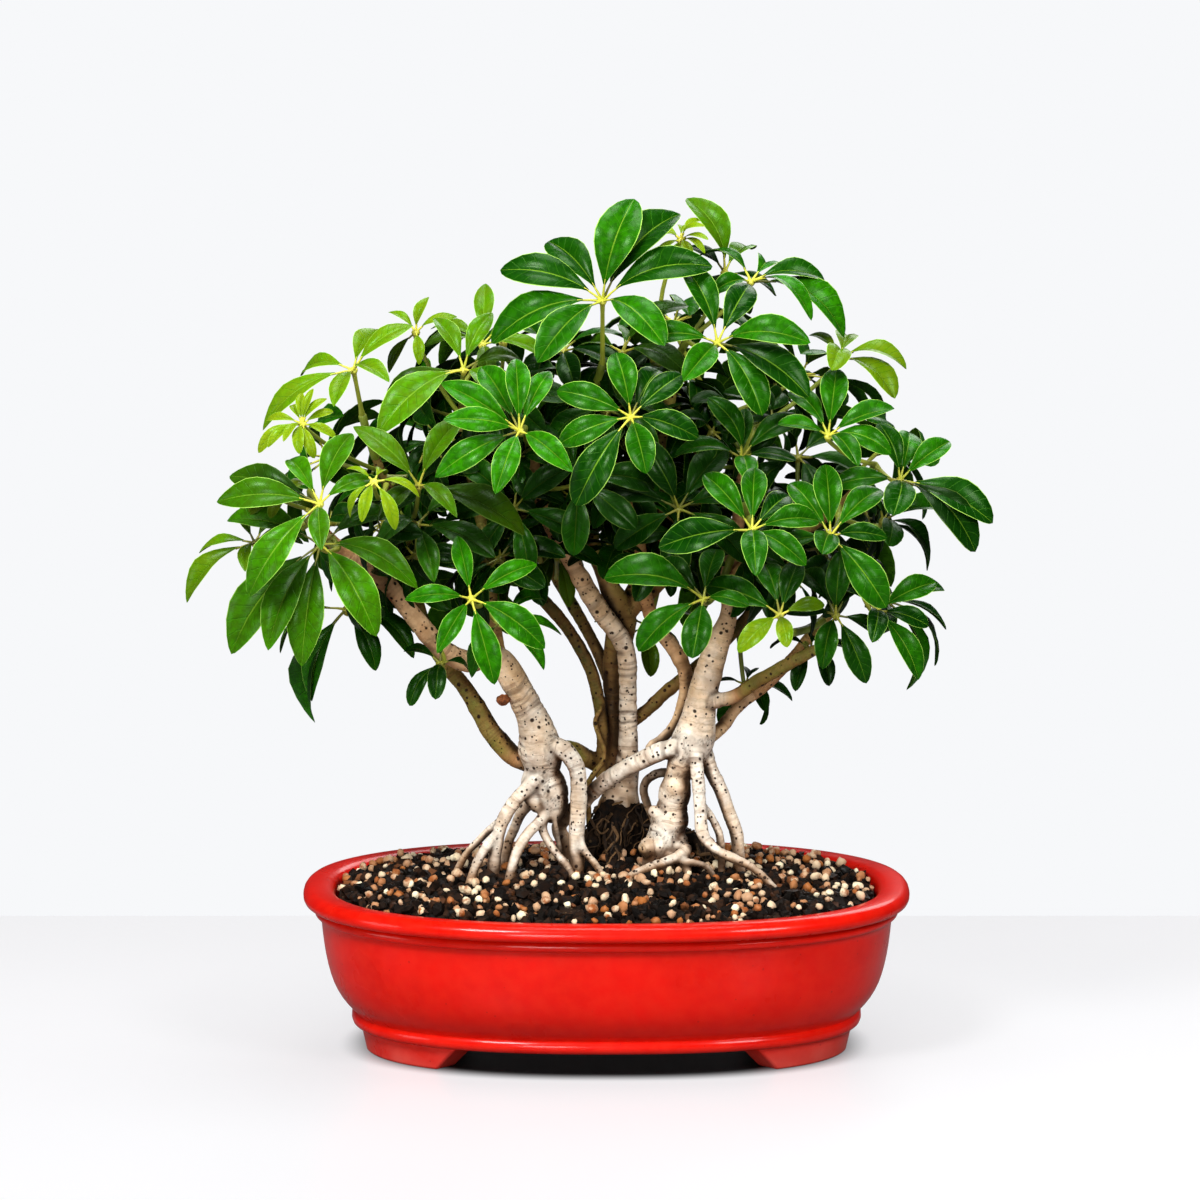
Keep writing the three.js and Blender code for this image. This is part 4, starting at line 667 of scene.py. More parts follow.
def rings_along(path, sides, shape=None):
    """Rings round a path of (point, radius, length); shape changes a radius by place and direction."""
    rings = []
    side = None
    for k, (point, radius, length) in enumerate(path):
        after = path[min(k + 1, len(path) - 1)][0]
        before = path[max(k - 1, 0)][0]
        along = (after - before).normalized()
        if side is None:
            side = Vector((1, 0, 0)) if abs(along.x) < 0.8 else Vector((0, 1, 0))
        side = (side - along * side.dot(along)).normalized()
        other = along.cross(side)
        ring = []
        for i in range(sides):
            angle = 2 * math.pi * i / sides
            out = side * math.cos(angle) + other * math.sin(angle)
            reach = shape(point, out, radius, length) if shape else radius
            ring.append(point + out * reach)
        rings.append(ring)
    return rings


def skin_rings(rings):
    """Points and faces of a closed skin through rings of one size."""
    n = len(rings[0])
    faces = [tuple(reversed(range(n)))]
    for k in range(len(rings) - 1):
        for i in range(n):
            j = (i + 1) % n
            faces.append((k * n + i, k * n + j, (k + 1) * n + j, (k + 1) * n + i))
    top = (len(rings) - 1) * n
    faces.append(tuple(range(top, top + n)))
    return [p for ring in rings for p in ring], faces


def rounded_ends(path):
    """The path with a small step in and out at each end, so that its skin closes rounded."""
    (a, ra, la), (b, rb, lb) = path[0], path[-1]
    into = (path[1][0] - a).normalized()
    out = (b - path[-2][0]).normalized()
    start = [(a - into * ra * 0.55, ra * 0.5, la), (a - into * ra * 0.3, ra * 0.85, la)]
    end = [(b + out * rb * 0.3, rb * 0.85, lb), (b + out * rb * 0.55, rb * 0.5, lb)]
    return start + path + end


class Graph:
    """Adds nodes to a tree of nodes and joins them to each other."""

    def __init__(self, tree):
        self.tree = tree

    def add(self, kind, inputs=None, **settings):
        """A new node of a kind, with its settings and inputs."""
        node = self.tree.nodes.new("ShaderNode" + kind if not kind.startswith("Node") else kind)
        for key, value in settings.items():
            setattr(node, key, value)
        for key, value in (inputs or {}).items():
            self.put(node.inputs[key], value)
        return node

    def put(self, socket, value):
        """Joins another node's output to a socket, or sets its plain value."""
        if isinstance(value, bpy.types.NodeSocket):
            self.tree.links.new(value, socket)
        else:
            socket.default_value = value

    def math(self, operation, a, b=0.0, c=0.0, clamp=False):
        inputs = {0: a, 1: b, 2: c}
        return self.add("Math", inputs, operation=operation, use_clamp=clamp).outputs[0]

    def times(self, a, b):
        return self.math("MULTIPLY", a, b)

    def scaled(self, value, factor, offset):
        """The value times the factor, and the offset added."""
        return self.math("MULTIPLY_ADD", value, factor, offset)

    def span(self, value, low, high, to_low=0.0, to_high=1.0):
        """The value carried smoothly from one range to another, and held at its ends."""
        inputs = {"Value": value, "From Min": low, "From Max": high}
        inputs |= {"To Min": to_low, "To Max": to_high}
        return self.add("MapRange", inputs, interpolation_type="SMOOTHSTEP").outputs[0]

    def blend(self, share, one, other):
        """A colour between two colours."""
        node = self.add("Mix", data_type="RGBA")
        for socket, value in zip((node.inputs[0], node.inputs[6], node.inputs[7]), (share, one, other)):
            self.put(socket, value)
        return node.outputs[2]

    def stain(self, tone, mask, strength, other):
        """The tone with another colour laid over it where the mask says."""
        return self.blend(self.times(mask, strength), tone, other)

    def noise(self, place, scale, detail=2.0, roughness=0.5):
        inputs = {"Vector": place, "Scale": scale, "Detail": detail, "Roughness": roughness}
        return self.add("TexNoise", inputs).outputs[0]

    def bands(self, length, scale, detail):
        """Uneven bands along a length."""
        inputs = {"W": length, "Scale": scale, "Detail": detail}
        return self.add("TexNoise", inputs, noise_dimensions="1D").outputs[0]

    def group(self, name, inputs):
        node = self.add("Group", node_tree=bpy.data.node_groups[name])
        for key, value in inputs.items():
            self.put(node.inputs[key], value)
        return node.outputs

    def value(self, name):
        """A named value of the mesh."""
        return self.add("Attribute", attribute_name=name).outputs["Fac"]


class Finish(Graph):
    """The graph of a new material, with the patterns that the finishes share."""

    def __init__(self, name, specular, coat=0.0, coat_roughness=0.1):
        self.material = bpy.data.materials.new(name)
        self.material.use_nodes = True
        super().__init__(self.material.node_tree)
        self.shader = self.tree.nodes["Principled BSDF"].inputs
        self.shader["Coat Weight"].default_value = coat
        self.shader["Coat Roughness"].default_value = coat_roughness
        self.shader["Specular IOR Level"].default_value = specular
        self.place = self.add("TexCoord").outputs["Object"]

    def mottle(self, scale, contrast=0.2):
        """Soft clouds, from 0 to 1."""
        return self.group("Mottle", {"Place": self.place, "Scale": scale, "Contrast": contrast})["Amount"]

    def spots(self, scale, size, share):
        inputs = {"Place": self.place, "Scale": scale, "Size": size, "Share": share}
        return self.group("Spots", inputs)["Mask"]

    def grain(self, coarse, fine, fine_share):
        inputs = {"Place": self.place, "Coarse": coarse, "Fine": fine, "Fine Share": fine_share}
        return self.group("Grain", inputs)["Height"]

    def paint(self, tone, roughness):
        """Sets the base colour and the roughness."""
        self.put(self.shader["Base Color"], tone)
        self.put(self.shader["Roughness"], roughness)

    def emboss(self, height, strength, distance):
        """Relief from a height, as the last step; gives the material."""
        inputs = {"Strength": strength, "Distance": distance, "Height": height}
        self.put(self.shader["Normal"], self.add("Bump", inputs).outputs[0])
        return self.material


def new_group(name, inputs, outputs):
    """A shader node group with inputs of (label, kind, start) and value outputs."""
    tree = bpy.data.node_groups.new(name, "ShaderNodeTree")
    kinds = {"vector": "NodeSocketVector", "value": "NodeSocketFloat"}
    for label, kind, start in inputs:
        socket = tree.interface.new_socket(name=label, in_out="INPUT", socket_type=kinds[kind])
        if start is not None:
            socket.default_value = start
    for label in outputs:
        tree.interface.new_socket(name=label, in_out="OUTPUT", socket_type=kinds["value"])
    graph = Graph(tree)
    return graph, graph.add("NodeGroupInput").outputs, graph.add("NodeGroupOutput").inputs


def make_mottle():
    """Soft cloudy patches."""
    inputs = [("Place", "vector", None), ("Scale", "value", 30.0), ("Contrast", "value", 0.2)]
    graph, given, out = new_group("Mottle", inputs, ["Amount"])
    cloud = graph.noise(given["Place"], given["Scale"], 4.0, 0.6)
    low = graph.math("SUBTRACT", 0.5, given["Contrast"])
    high = graph.math("ADD", 0.5, given["Contrast"])
    graph.put(out["Amount"], graph.span(cloud, low, high))


def make_spots():
    """Round spots of uneven size, on a share of the cells."""
    inputs = [
        ("Place", "vector", None), ("Scale", "value", 200.0), ("Size", "value", 0.2),
        ("Share", "value", 0.5),
    ]
    graph, given, out = new_group("Spots", inputs, ["Mask"])
    warp = graph.add("TexNoise", {"Vector": given["Place"], "Scale": given["Scale"], "Detail": 1.0})
    moved = graph.add("VectorMath", {0: warp.outputs["Color"], 3: 0.0006}, operation="SCALE")
    place = graph.add("VectorMath", {0: given["Place"], 1: moved.outputs[0]}, operation="ADD")
    cells = graph.add("TexVoronoi", {"Vector": place.outputs[0], "Scale": given["Scale"]})
    parts = graph.add("SeparateColor", {0: cells.outputs["Color"]}).outputs
    reach = graph.times(given["Size"], graph.scaled(parts[1], 0.7, 0.45))
    near = graph.span(cells.outputs["Distance"], reach, graph.times(reach, 0.6))
    chosen = graph.math("LESS_THAN", parts[0], given["Share"])
    graph.put(out["Mask"], graph.times(near, chosen))


def make_grain():
    """Height of a surface with coarse and fine grain."""
    inputs = [
        ("Place", "vector", None), ("Coarse", "value", 60.0), ("Fine", "value", 400.0),
        ("Fine Share", "value", 0.4),
    ]
    graph, given, out = new_group("Grain", inputs, ["Height"])
    coarse = graph.noise(given["Place"], given["Coarse"], 3.0, 0.55)
    fine = graph.noise(given["Place"], given["Fine"], 2.0, 0.6)
    graph.put(out["Height"], graph.scaled(fine, given["Fine Share"], coarse))


def make_veins():
    """Midrib, side veins and margin of a leaflet, from its own UV: across from 0 to 1, and along."""
    inputs = [("UV", "vector", None), ("Pairs", "value", 9.0)]
    graph, given, out = new_group("Veins", inputs, ["Midrib", "Side Veins", "Margin"])
    parts = graph.add("SeparateXYZ", {0: given["UV"]}).outputs
    half = graph.math("ABSOLUTE", graph.scaled(parts[0], 2.0, -1.0))
    rib = graph.span(parts[1], 0.0, 1.0, 0.04, 0.016)
    graph.put(out["Midrib"], graph.span(half, graph.times(rib, 1.7), rib))
    slant = graph.scaled(graph.math("POWER", half, 0.8), -0.17, parts[1])
    wave = graph.math("PINGPONG", graph.times(slant, given["Pairs"]), 0.5)
    line = graph.span(wave, 0.075, 0.02)
    graph.put(out["Side Veins"], graph.times(line, graph.span(half, 0.93, 0.7)))
    graph.put(out["Margin"], graph.span(half, 0.945, 0.985))


def colour(red, green, blue):
    """A colour given as the eye sees it on a screen, from 0 to 255."""
    linear = []
    for part in (red, green, blue):
        part /= 255
        linear.append(part / 12.92 if part <= 0.04045 else ((part + 0.055) / 1.055) ** 2.4)
    return (*linear, 1.0)


def make_glaze(settings):
    """Red glaze, clouded, with fine dark specks and a little dust at its foot."""
    glaze = Finish("Red glaze", specular=0.08, coat=0.26)
    cloud = glaze.mottle(22, 0.25)
    deep = tuple(part * 0.82 for part in settings.glaze) + (1.0,)
    tone = glaze.blend(cloud, deep, (*settings.glaze, 1.0))
    tone = glaze.stain(tone, glaze.mottle(150), 0.3, colour(220, 40, 20))
    low = glaze.add("SeparateXYZ", {0: glaze.place}).outputs[2]
    dusty = glaze.times(glaze.span(low, 0.017, 0.001), glaze.times(cloud, 0.28))
    tone = glaze.blend(dusty, tone, colour(196, 150, 134))
    tone = glaze.stain(tone, glaze.spots(210, 0.14, 0.35), 0.4, colour(120, 10, 8))
    glaze.paint(tone, glaze.span(cloud, 0.0, 1.0, 0.26, 0.36))
    return glaze.emboss(glaze.grain(130, 520, 0.35), 0.1, 0.0006)


def make_plain(name, specular, cloud, tones, rough, grain, relief, spots=None):
    """A finish of two clouded tones with grain, and spots of (pattern, strength, colour) if given."""
    plain = Finish(name, specular)
    amount = plain.mottle(*cloud)
    tone = plain.blend(amount, *tones)
    if spots:
        pattern, strength, other = spots
        tone = plain.stain(tone, plain.spots(*pattern), strength, other)
    plain.paint(tone, plain.span(amount, 0.0, 1.0, *rough))
    return plain.emboss(plain.grain(*grain), *relief)


def make_plastic():
    """Dull black plastic of the drain screens."""
    return make_plain(
        "Black plastic screen", 0.4, cloud=(90, 0.2), tones=(colour(20, 20, 21), colour(38, 37, 36)),
        rough=(0.42, 0.62), grain=(300, 1500, 0.5), relief=(0.15, 0.0003))


def make_earth(settings):
    """Dark soil with pale crumbs."""
    return make_plain(
        "Dark potting grit", 0.12, cloud=(170, 0.22), tones=((*settings.earth, 1.0), colour(52, 36, 26)),
        rough=(0.75, 0.95), grain=(260, 900, 0.7), relief=(0.9, 0.0012),
        spots=((420, 0.42, 0.3), 0.7, colour(128, 98, 70)))


def make_root_mass():
    """Old dark roots with soil in them."""
    return make_plain(
        "Old root clump", 0.1, cloud=(260, 0.16), tones=(colour(7, 5, 4), colour(34, 23, 14)),
        rough=(0.75, 0.95), grain=(400, 1300, 0.6), relief=(0.8, 0.0012),
        spots=((300, 0.4, 0.22), 0.45, colour(96, 74, 48)))


def make_dry_bud():
    """Red-brown scales of the dry bud."""
    return make_plain(
        "Dry bud", 0.3, cloud=(500, 0.2), tones=(colour(70, 30, 14), colour(150, 84, 40)),
        rough=(0.5, 0.75), grain=(700, 2200, 0.5), relief=(0.6, 0.0006))


def make_cut_wood():
    """Pale wood where a branch was cut."""
    return make_plain(
        "Dry cut wood", 0.3, cloud=(300, 0.2), tones=(colour(190, 166, 120), colour(122, 96, 62)),
        rough=(0.65, 0.85), grain=(500, 1600, 0.5), relief=(0.5, 0.0005),
        spots=((900, 0.3, 0.5), 0.5, colour(84, 58, 34)))


def make_lump(name, light, dark, other, gloss):
    """Grit and pebbles: each one's own tint between two colours, with patches of a third."""
    lump = Finish(name, gloss)
    tone = lump.blend(lump.math("POWER", lump.value("tint"), 1.5), dark, light)
    cloud = lump.mottle(240, 0.12)
    patch = lump.times(cloud, lump.span(lump.value("patch"), 0.25, 0.9))
    tone = lump.blend(patch, tone, other)
    tone = lump.stain(tone, lump.spots(1400, 0.3, 0.3), 0.25, colour(60, 44, 32))
    lump.paint(tone, lump.span(cloud, 0.0, 1.0, 0.5, 0.85))
    return lump.emboss(lump.grain(500, 1800, 0.5), 0.45, 0.0005)


def make_bark(settings):
    """Pale bark with brown pores and ring scars, that turns tan and olive towards the young wood."""
    bark = Finish("Pored bark", specular=0.14)
    along = bark.value("along")
    cloud = bark.mottle(46, 0.22)
    moved = bark.scaled(bark.math("SUBTRACT", cloud, 0.5), 0.12, bark.value("tone"))
    ramp = bark.add("ValToRGB", {0: moved})
    stops = [
        (0.0, (*settings.bark, 1.0)), (0.14, colour(232, 198, 154)), (0.34, colour(190, 140, 92)),
        (0.6, colour(122, 120, 48)), (0.85, colour(70, 70, 24)), (1.0, colour(48, 56, 16)),
    ]
    for k, (position, tone) in enumerate(stops):
        stop = ramp.color_ramp.elements[k] if k < 2 else ramp.color_ramp.elements.new(position)
        stop.position = position
        stop.color = tone
    fine = bark.mottle(170)
    tone = bark.stain(ramp.outputs[0], fine, 0.32, colour(156, 108, 60))
    tone = bark.stain(tone, bark.mottle(85, 0.14), 0.24, colour(126, 90, 50))
    # Painted shade where other limbs and the soil keep the light off, and on undersides
    hidden = bark.value("hidden")
    tone = bark.stain(tone, bark.span(hidden, 0.0, 0.5), 0.5, colour(160, 112, 64))
    tone = bark.stain(tone, bark.span(hidden, 0.1, 1.0), 0.93, colour(38, 24, 12))
    # Browner in cloudy patches towards the bottom, where the roots meet the soil
    height = bark.add("SeparateXYZ", {0: bark.place}).outputs[2]
    low_brown = bark.times(bark.span(height, 0.112, 0.082), bark.span(cloud, 0.0, 1.0, 0.35, 0.9))
    tone = bark.blend(low_brown, tone, colour(120, 84, 56))
    # Ring scars across the limb, and painted shade in its hollows
    uneven = bark.scaled(bark.noise(bark.place, 120.0, 1.0), 0.0016, along)
    ring = bark.span(bark.bands(uneven, 210.0, 1.5), 0.63, 0.69)
    broken = bark.times(ring, bark.span(bark.noise(bark.place, 75.0), 0.42, 0.6))
    tone = bark.stain(tone, broken, 0.4, colour(100, 62, 34))
    tone = bark.stain(tone, bark.value("hollow"), 0.8, colour(72, 44, 22))
    # Fine folds between the rings, and the creases that are cut in the mesh, both darkened with painted
    # shade
    crinkled = bark.scaled(bark.noise(bark.place, 160.0), 0.004, along)
    folds = bark.bands(crinkled, 620.0, 2.0)
    fold = bark.times(bark.span(folds, 0.42, 0.3), bark.span(cloud, 0.2, 0.8))
    tone = bark.stain(tone, fold, 0.3, colour(112, 78, 48))
    tone = bark.stain(tone, bark.value("crease"), 0.9, colour(66, 40, 20))
    # Large and small pores
    pores = bark.math("MAXIMUM", bark.spots(240, 0.27, 0.9), bark.spots(400, 0.29, 0.7))
    tone = bark.stain(tone, pores, 0.96, colour(34, 16, 6))
    bark.paint(tone, bark.span(fine, 0.0, 1.0, 0.5, 0.7))
    raised = bark.scaled(broken, -0.7, bark.grain(210, 800, 0.35))
    raised = bark.scaled(folds, 1.2, raised)
    return bark.emboss(bark.scaled(pores, 0.9, raised), 0.55, 0.0007)


def make_fine_root():
    """Fine roots from dark to tan by their tint."""
    root = Finish("Fine root", specular=0.2)
    cloud = root.mottle(400)
    tone = root.blend(root.value("tint"), colour(22, 14, 8), colour(116, 86, 54))
    tone = root.stain(tone, cloud, 0.4, colour(52, 36, 22))
    root.paint(tone, root.span(cloud, 0.0, 1.0, 0.6, 0.85))
    return root.emboss(root.grain(600, 2000, 0.5), 0.4, 0.0004)


def make_leaf(settings, name, under):
    """Upper side or underside of the leaflets. tint differs by leaflet, shade darkens, young is lime; tint
    and young are partly painted light on the left-side shoots.
    """
    specular, coat = (0.05, 0.0) if under else (0.15, 0.08)
    leaf = Finish(name, specular, coat, coat_roughness=0.22)
    leaf.shader["Specular Tint"].default_value = (0.35, 1.0, 0.15, 1.0)
    uv = leaf.add("UVMap", uv_map="UVMap").outputs[0]
    veins = leaf.group("Veins", {"UV": uv, "Pairs": 9.0})
    low, high = (*settings.deep, 1.0), (*settings.fresh, 1.0)
    if under:
        low, high = colour(30, 70, 10), colour(66, 108, 20)
    cloud = leaf.mottle(120)
    tone = leaf.stain(leaf.blend(leaf.value("tint"), low, high), cloud, 0.35, colour(18, 80, 1))
    tone = leaf.stain(tone, leaf.mottle(260, 0.12), 0.5, colour(4, 44, 1))
    lime = leaf.blend(cloud, (*settings.lime, 1.0), colour(122, 144, 14))
    tone = leaf.blend(leaf.value("young"), tone, lime)
    tone = leaf.stain(tone, veins["Side Veins"], 0.2 if under else 0.3, colour(58, 120, 14))
    tone = leaf.stain(tone, veins["Midrib"], 0.62, colour(116, 160, 40))
    tone = leaf.stain(tone, veins["Margin"], 0.85, colour(160, 204, 84))
    dark = leaf.times(leaf.value("shade"), 0.93)
    dull = leaf.span(cloud, 0.0, 1.0, *((0.5, 0.6) if under else (0.27, 0.37)))
    dull = leaf.math("MULTIPLY_ADD", dark, 0.12, dull, clamp=True)
    leaf.paint(leaf.blend(dark, tone, colour(2, 14, 1)), dull)
    # Veins are pressed in above, and the midrib stands out below
    height = leaf.scaled(veins["Side Veins"], -0.75, leaf.grain(170, 1100, 0.12))
    height = leaf.scaled(veins["Midrib"], 0.9 if under else -0.8, height)
    return leaf.emboss(height, 0.5, 0.0012)


def make_stalk(settings, name, pale, deep):
    """Leaf stalks and hubs, each between a pale and a deep colour by its tint."""
    stalk = Finish(name, specular=0.45)
    cloud = stalk.mottle(150)
    tone = stalk.blend(stalk.value("tint"), deep, pale)
    tone = stalk.stain(tone, cloud, 0.3, (*settings.stalk, 1.0))
    tone = stalk.stain(tone, stalk.value("shade"), 0.85, colour(20, 30, 6))
    stalk.paint(tone, stalk.span(cloud, 0.0, 1.0, 0.38, 0.5))
    return stalk.emboss(stalk.grain(300, 1400, 0.4), 0.25, 0.0004)


def colour_setting(name, description, red, green, blue):
    """A setting that holds a colour, given as the eye sees it."""
    return bpy.props.FloatVectorProperty(
        name=name, description=description, default=colour(red, green, blue)[:3], size=3,
        min=0.0, max=1.0, subtype="COLOR")


class PotSettings(bpy.types.PropertyGroup):
    glaze: colour_setting("Glaze", "Colour of the glaze", 213, 14, 2)
    foot_edge: bpy.props.FloatProperty(
        name="Foot edge", description="How far the edges of the feet are rounded", default=0.0012,
        min=0.0002, max=0.003, subtype="DISTANCE", unit="LENGTH")


class SoilSettings(bpy.types.PropertyGroup):
    earth: colour_setting("Earth", "Colour of the finest soil", 12, 9, 7)
    lumps: bpy.props.IntProperty(
        name="Lumps", description="How many dark lumps lie on the soil", default=2600, min=0)
    pebbles: bpy.props.IntProperty(
        name="Pebbles", description="How many pale pebbles lie on the soil", default=640, min=0)


class TreeSettings(bpy.types.PropertyGroup):
    bark: colour_setting("Bark", "Colour of the palest bark", 246, 238, 222)
    detail: bpy.props.FloatProperty(
        name="Detail", description="Size of the finest step in the bark's shape", default=0.0008,
        min=0.0005, max=0.003, subtype="DISTANCE", unit="LENGTH")


class LeafSettings(bpy.types.PropertyGroup):
    deep: colour_setting("Deep green", "Colour of the darkest leaflets", 3, 38, 1)
    fresh: colour_setting("Fresh green", "Colour of the brightest grown leaflets", 43, 120, 1)
    lime: colour_setting("Lime", "Colour of young leaflets", 104, 138, 5)
    stalk: colour_setting("Stalks", "Colour of the leaf stalks", 132, 146, 40)
    fill: bpy.props.IntProperty(
        name="Inner whorls", description="How many dark whorls fill the crown", default=100, min=0)


class StageSettings(bpy.types.PropertyGroup):
    elevation: bpy.props.FloatProperty(
        name="Elevation", description="How far above the level the camera looks from",
        default=VIEW_TILT, min=0.0, max=1.5, subtype="ANGLE")
    distance: bpy.props.FloatProperty(
        name="Distance", description="From the camera to the tree", default=9.0, min=0.5,
        subtype="DISTANCE", unit="LENGTH")


# Pot
def oval(angle, offset_x, offset_y, z):
    """A point of the pot's oval, moved out from the lip's outline by the offsets, in metres."""
    power = 2 / POT_SQUARENESS
    c, s = math.cos(angle), math.sin(angle)
    x = (POT_HALF_WIDTH + offset_x) * math.copysign(abs(c) ** power, c)
    y = (POT_HALF_DEPTH + offset_y) * math.copysign(abs(s) ** power, s)
    return POT_MIDDLE + Vector((x, y, z))


def boolean(target, tool, operation):
    """Joins the tool to the target, or cuts it out, and removes the tool."""
    apply_modifier(target, "BOOLEAN", operation=operation, object=tool, solver="EXACT")
    bpy.data.objects.remove(tool)


def foot_form(flip_x, flip_y, edge):
    """A bracket foot: a slice of the oval, narrower where it stands."""
    rings = []
    for level in range(FOOT_LEVELS + 1):
        share = level / FOOT_LEVELS
        start, end, outer, inner, z = (mix(FOOT_SOLE[key], FOOT_ROOT[key], share) for key in FOOT_SOLE)
        ring = []
        for offset, order in ((outer, 1), (inner, -1)):
            for step in range(FOOT_STEPS + 1)[::order]:
                angle = math.radians(mix(start, end, step / FOOT_STEPS))
                point = oval(angle, offset * MM, offset * MM, z * MM) - POT_MIDDLE
                ring.append(POT_MIDDLE + Vector((point.x * flip_x, point.y * flip_y, point.z)))
        rings.append(ring if flip_x * flip_y > 0 else ring[::-1])
    form = Skin()
    form.add(*skin_rings(rings))
    foot = form.piece("foot", [])
    apply_modifier(foot, "BEVEL", width=edge, segments=3, limit_method="ANGLE", angle_limit=0.7)
    return foot


def throw_pot(edge):
    """The pot's wall, drawn up ring by ring from its underside, with its drain holes and feet."""
    first_offset, first_height = POT_PROFILE[0]
    bpy.ops.mesh.primitive_circle_add(vertices=POT_SIDES, radius=POT_HALF_WIDTH, location=POT_MIDDLE)
    pot = bpy.context.object
    bpy.ops.object.transform_apply()
    for k, vertex in enumerate(pot.data.vertices):
        angle = 2 * math.pi * (k + 0.5) / POT_SIDES
        vertex.co = oval(angle, first_offset * MM, first_offset * MM, first_height * MM)
    bpy.ops.object.mode_set(mode="EDIT")
    bpy.ops.mesh.select_all(action="SELECT")
    bpy.ops.mesh.edge_face_add()
    bpy.ops.mesh.select_mode(type="EDGE")
    before = (first_offset * MM, first_height * MM)
    for offset, height in POT_PROFILE[1:]:
        now = (offset * MM, height * MM)
        bpy.ops.mesh.extrude_edges_move(TRANSFORM_OT_translate={"value": (0, 0, now[1] - before[1])})
        grow_x = (POT_HALF_WIDTH + now[0]) / (POT_HALF_WIDTH + before[0])
        grow_y = (POT_HALF_DEPTH + now[0]) / (POT_HALF_DEPTH + before[0])
        bpy.ops.transform.resize(value=(grow_x, grow_y, 1), center_override=POT_MIDDLE)
        before = now
    bpy.ops.mesh.edge_face_add()
    bpy.ops.mesh.select_all(action="SELECT")
    bpy.ops.mesh.normals_make_consistent()
    bpy.ops.object.mode_set(mode="OBJECT")
    for side in (-1, 1):
        place = POT_MIDDLE + Vector((side * DRAIN_X, 0, DRAIN_MIDDLE))
        bpy.ops.mesh.primitive_cylinder_add(
            vertices=DRAIN_SIDES, radius=DRAIN_RADIUS, depth=DRAIN_DEPTH, location=place)
        drain = bpy.context.object
        bpy.ops.object.transform_apply()
        boolean(pot, drain, "DIFFERENCE")
    for flip_x in (1, -1):
        for flip_y in (1, -1):
            boolean(pot, foot_form(flip_x, flip_y, edge), "UNION")
    only(pot)
    bpy.ops.object.shade_smooth_by_angle(angle=SOFT_BEND)
    return pot


class BONSAI_OT_make_pot(bpy.types.Operator):
    """Throw the oval pot with its lip, beads, feet and drain holes, and glaze it"""

    bl_idname = "bonsai.make_pot"
    bl_label = "Make pot"

    def execute(self, context):
        settings = context.scene.bonsai_pot
        pot = throw_pot(settings.foot_edge)
        pot.name = "glazed_pot"
        pot.data.materials.clear()
        pot.data.materials.append(make_glaze(settings))
        finish_piece(pot, "red_glaze", "pot")
        return {"FINISHED"}


class BONSAI_OT_make_screens(bpy.types.Operator):
    """Give the two drain screens their black plastic"""

    bl_idname = "bonsai.make_screens"
    bl_label = "Make drain screens"

    def execute(self, context):
        plastic = make_plastic()
        for side in ("left", "right"):
            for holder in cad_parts["drain_screen_" + side].material_slots:
                holder.material = plastic
        return {"FINISHED"}


# Soil
def merged_copy(node, name):
    """A new object with the node's form, its loose triangles joined."""
    form = bmesh.new()
    form.from_mesh(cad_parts[node].data)
    bmesh.ops.remove_doubles(form, verts=form.verts, dist=SAME_PLACE)
    mesh = bpy.data.meshes.new(name)
    form.to_mesh(mesh)
    form.free()
    return link_object(name, mesh)


def rough_soil():
    """The soil's mound, its top broken up into lumps and hollows."""
    mound = merged_copy("soil", "soil_mound")
    voxel_skin(mound, SOIL_STEP)
    for vertex in mound.data.vertices:
        if vertex.normal.z < 0.25 or vertex.co.z < SOIL_LOW:
            continue
        p = vertex.co
        lumps = noise.noise(p * 130) * 0.0009 + noise.noise(p * 330) * 0.0008
        vertex.co = p + Vector((0, 0, lumps - 0.0006))
    mound.data.shade_smooth()
    mound.data.set_sharp_from_angle(angle=SMOOTH_BEND)
    return mound


def lump_form(rng, subdivisions, ragged):
    """One rough lump of a bmesh icosphere, as points and faces round the middle."""
    form = bmesh.new()
    bmesh.ops.create_icosphere(form, subdivisions=subdivisions, radius=1.0)
    stretch = Vector((rng.uniform(0.75, 1.2), rng.uniform(0.75, 1.2), rng.uniform(0.6, 0.95)))
    seed = Vector((rng.uniform(0, 50), rng.uniform(0, 50), rng.uniform(0, 50)))
    for vertex in form.verts:
        swell = 1 + ragged * noise.noise(vertex.co * 1.6 + seed)
        vertex.co = Vector(a * b for a, b in zip(vertex.co * swell, stretch))
    points = [v.co.copy() for v in form.verts]
    faces = [tuple(v.index for v in f.verts) for f in form.faces]
    form.free()
    return points, faces


def turn_at_random(rng):
    """A rotation about any axis."""
    axis = random_vector(rng)
    return Matrix.Rotation(rng.uniform(0, 2 * math.pi), 3, axis.normalized())


def scatter_on_soil(rng, mound, blocked, count, sizes, forms, sunk):
    """Scattered lumps of the given forms, resting on the mound and clear of the roots."""
    grit = Skin("tint", "patch")
    placed = 0
    reach_x, reach_y = POT_HALF_WIDTH - SOIL_MARGIN, POT_HALF_DEPTH - SOIL_MARGIN
    while placed < count:
        x, y = rng.uniform(-1, 1), rng.uniform(-1, 1)
        size = rng.uniform(*sizes) * rng.uniform(0.8, 1.15)
        room = 1 - size / reach_y
        if abs(x) ** POT_SQUARENESS + abs(y) ** POT_SQUARENESS > room ** POT_SQUARENESS:
            continue
        above = POT_MIDDLE + Vector((x * reach_x, y * reach_y, 0.12))
        ground = mound.ray_cast(above, Vector((0, 0, -1)))[0]
        if ground is None or ground.z < SOIL_LOW:
            continue
        if blocked.find_nearest(ground)[3] < size * 0.5:
            continue
        points, faces = rng.choice(forms)
        turn = turn_at_random(rng)
        middle = ground + Vector((0, 0, size * (1 - sunk)))
        moved = [middle + (turn @ p) * size for p in points]
        grit.add(moved, faces, tint=rng.random(), patch=rng.random())
        placed += 1
    return grit


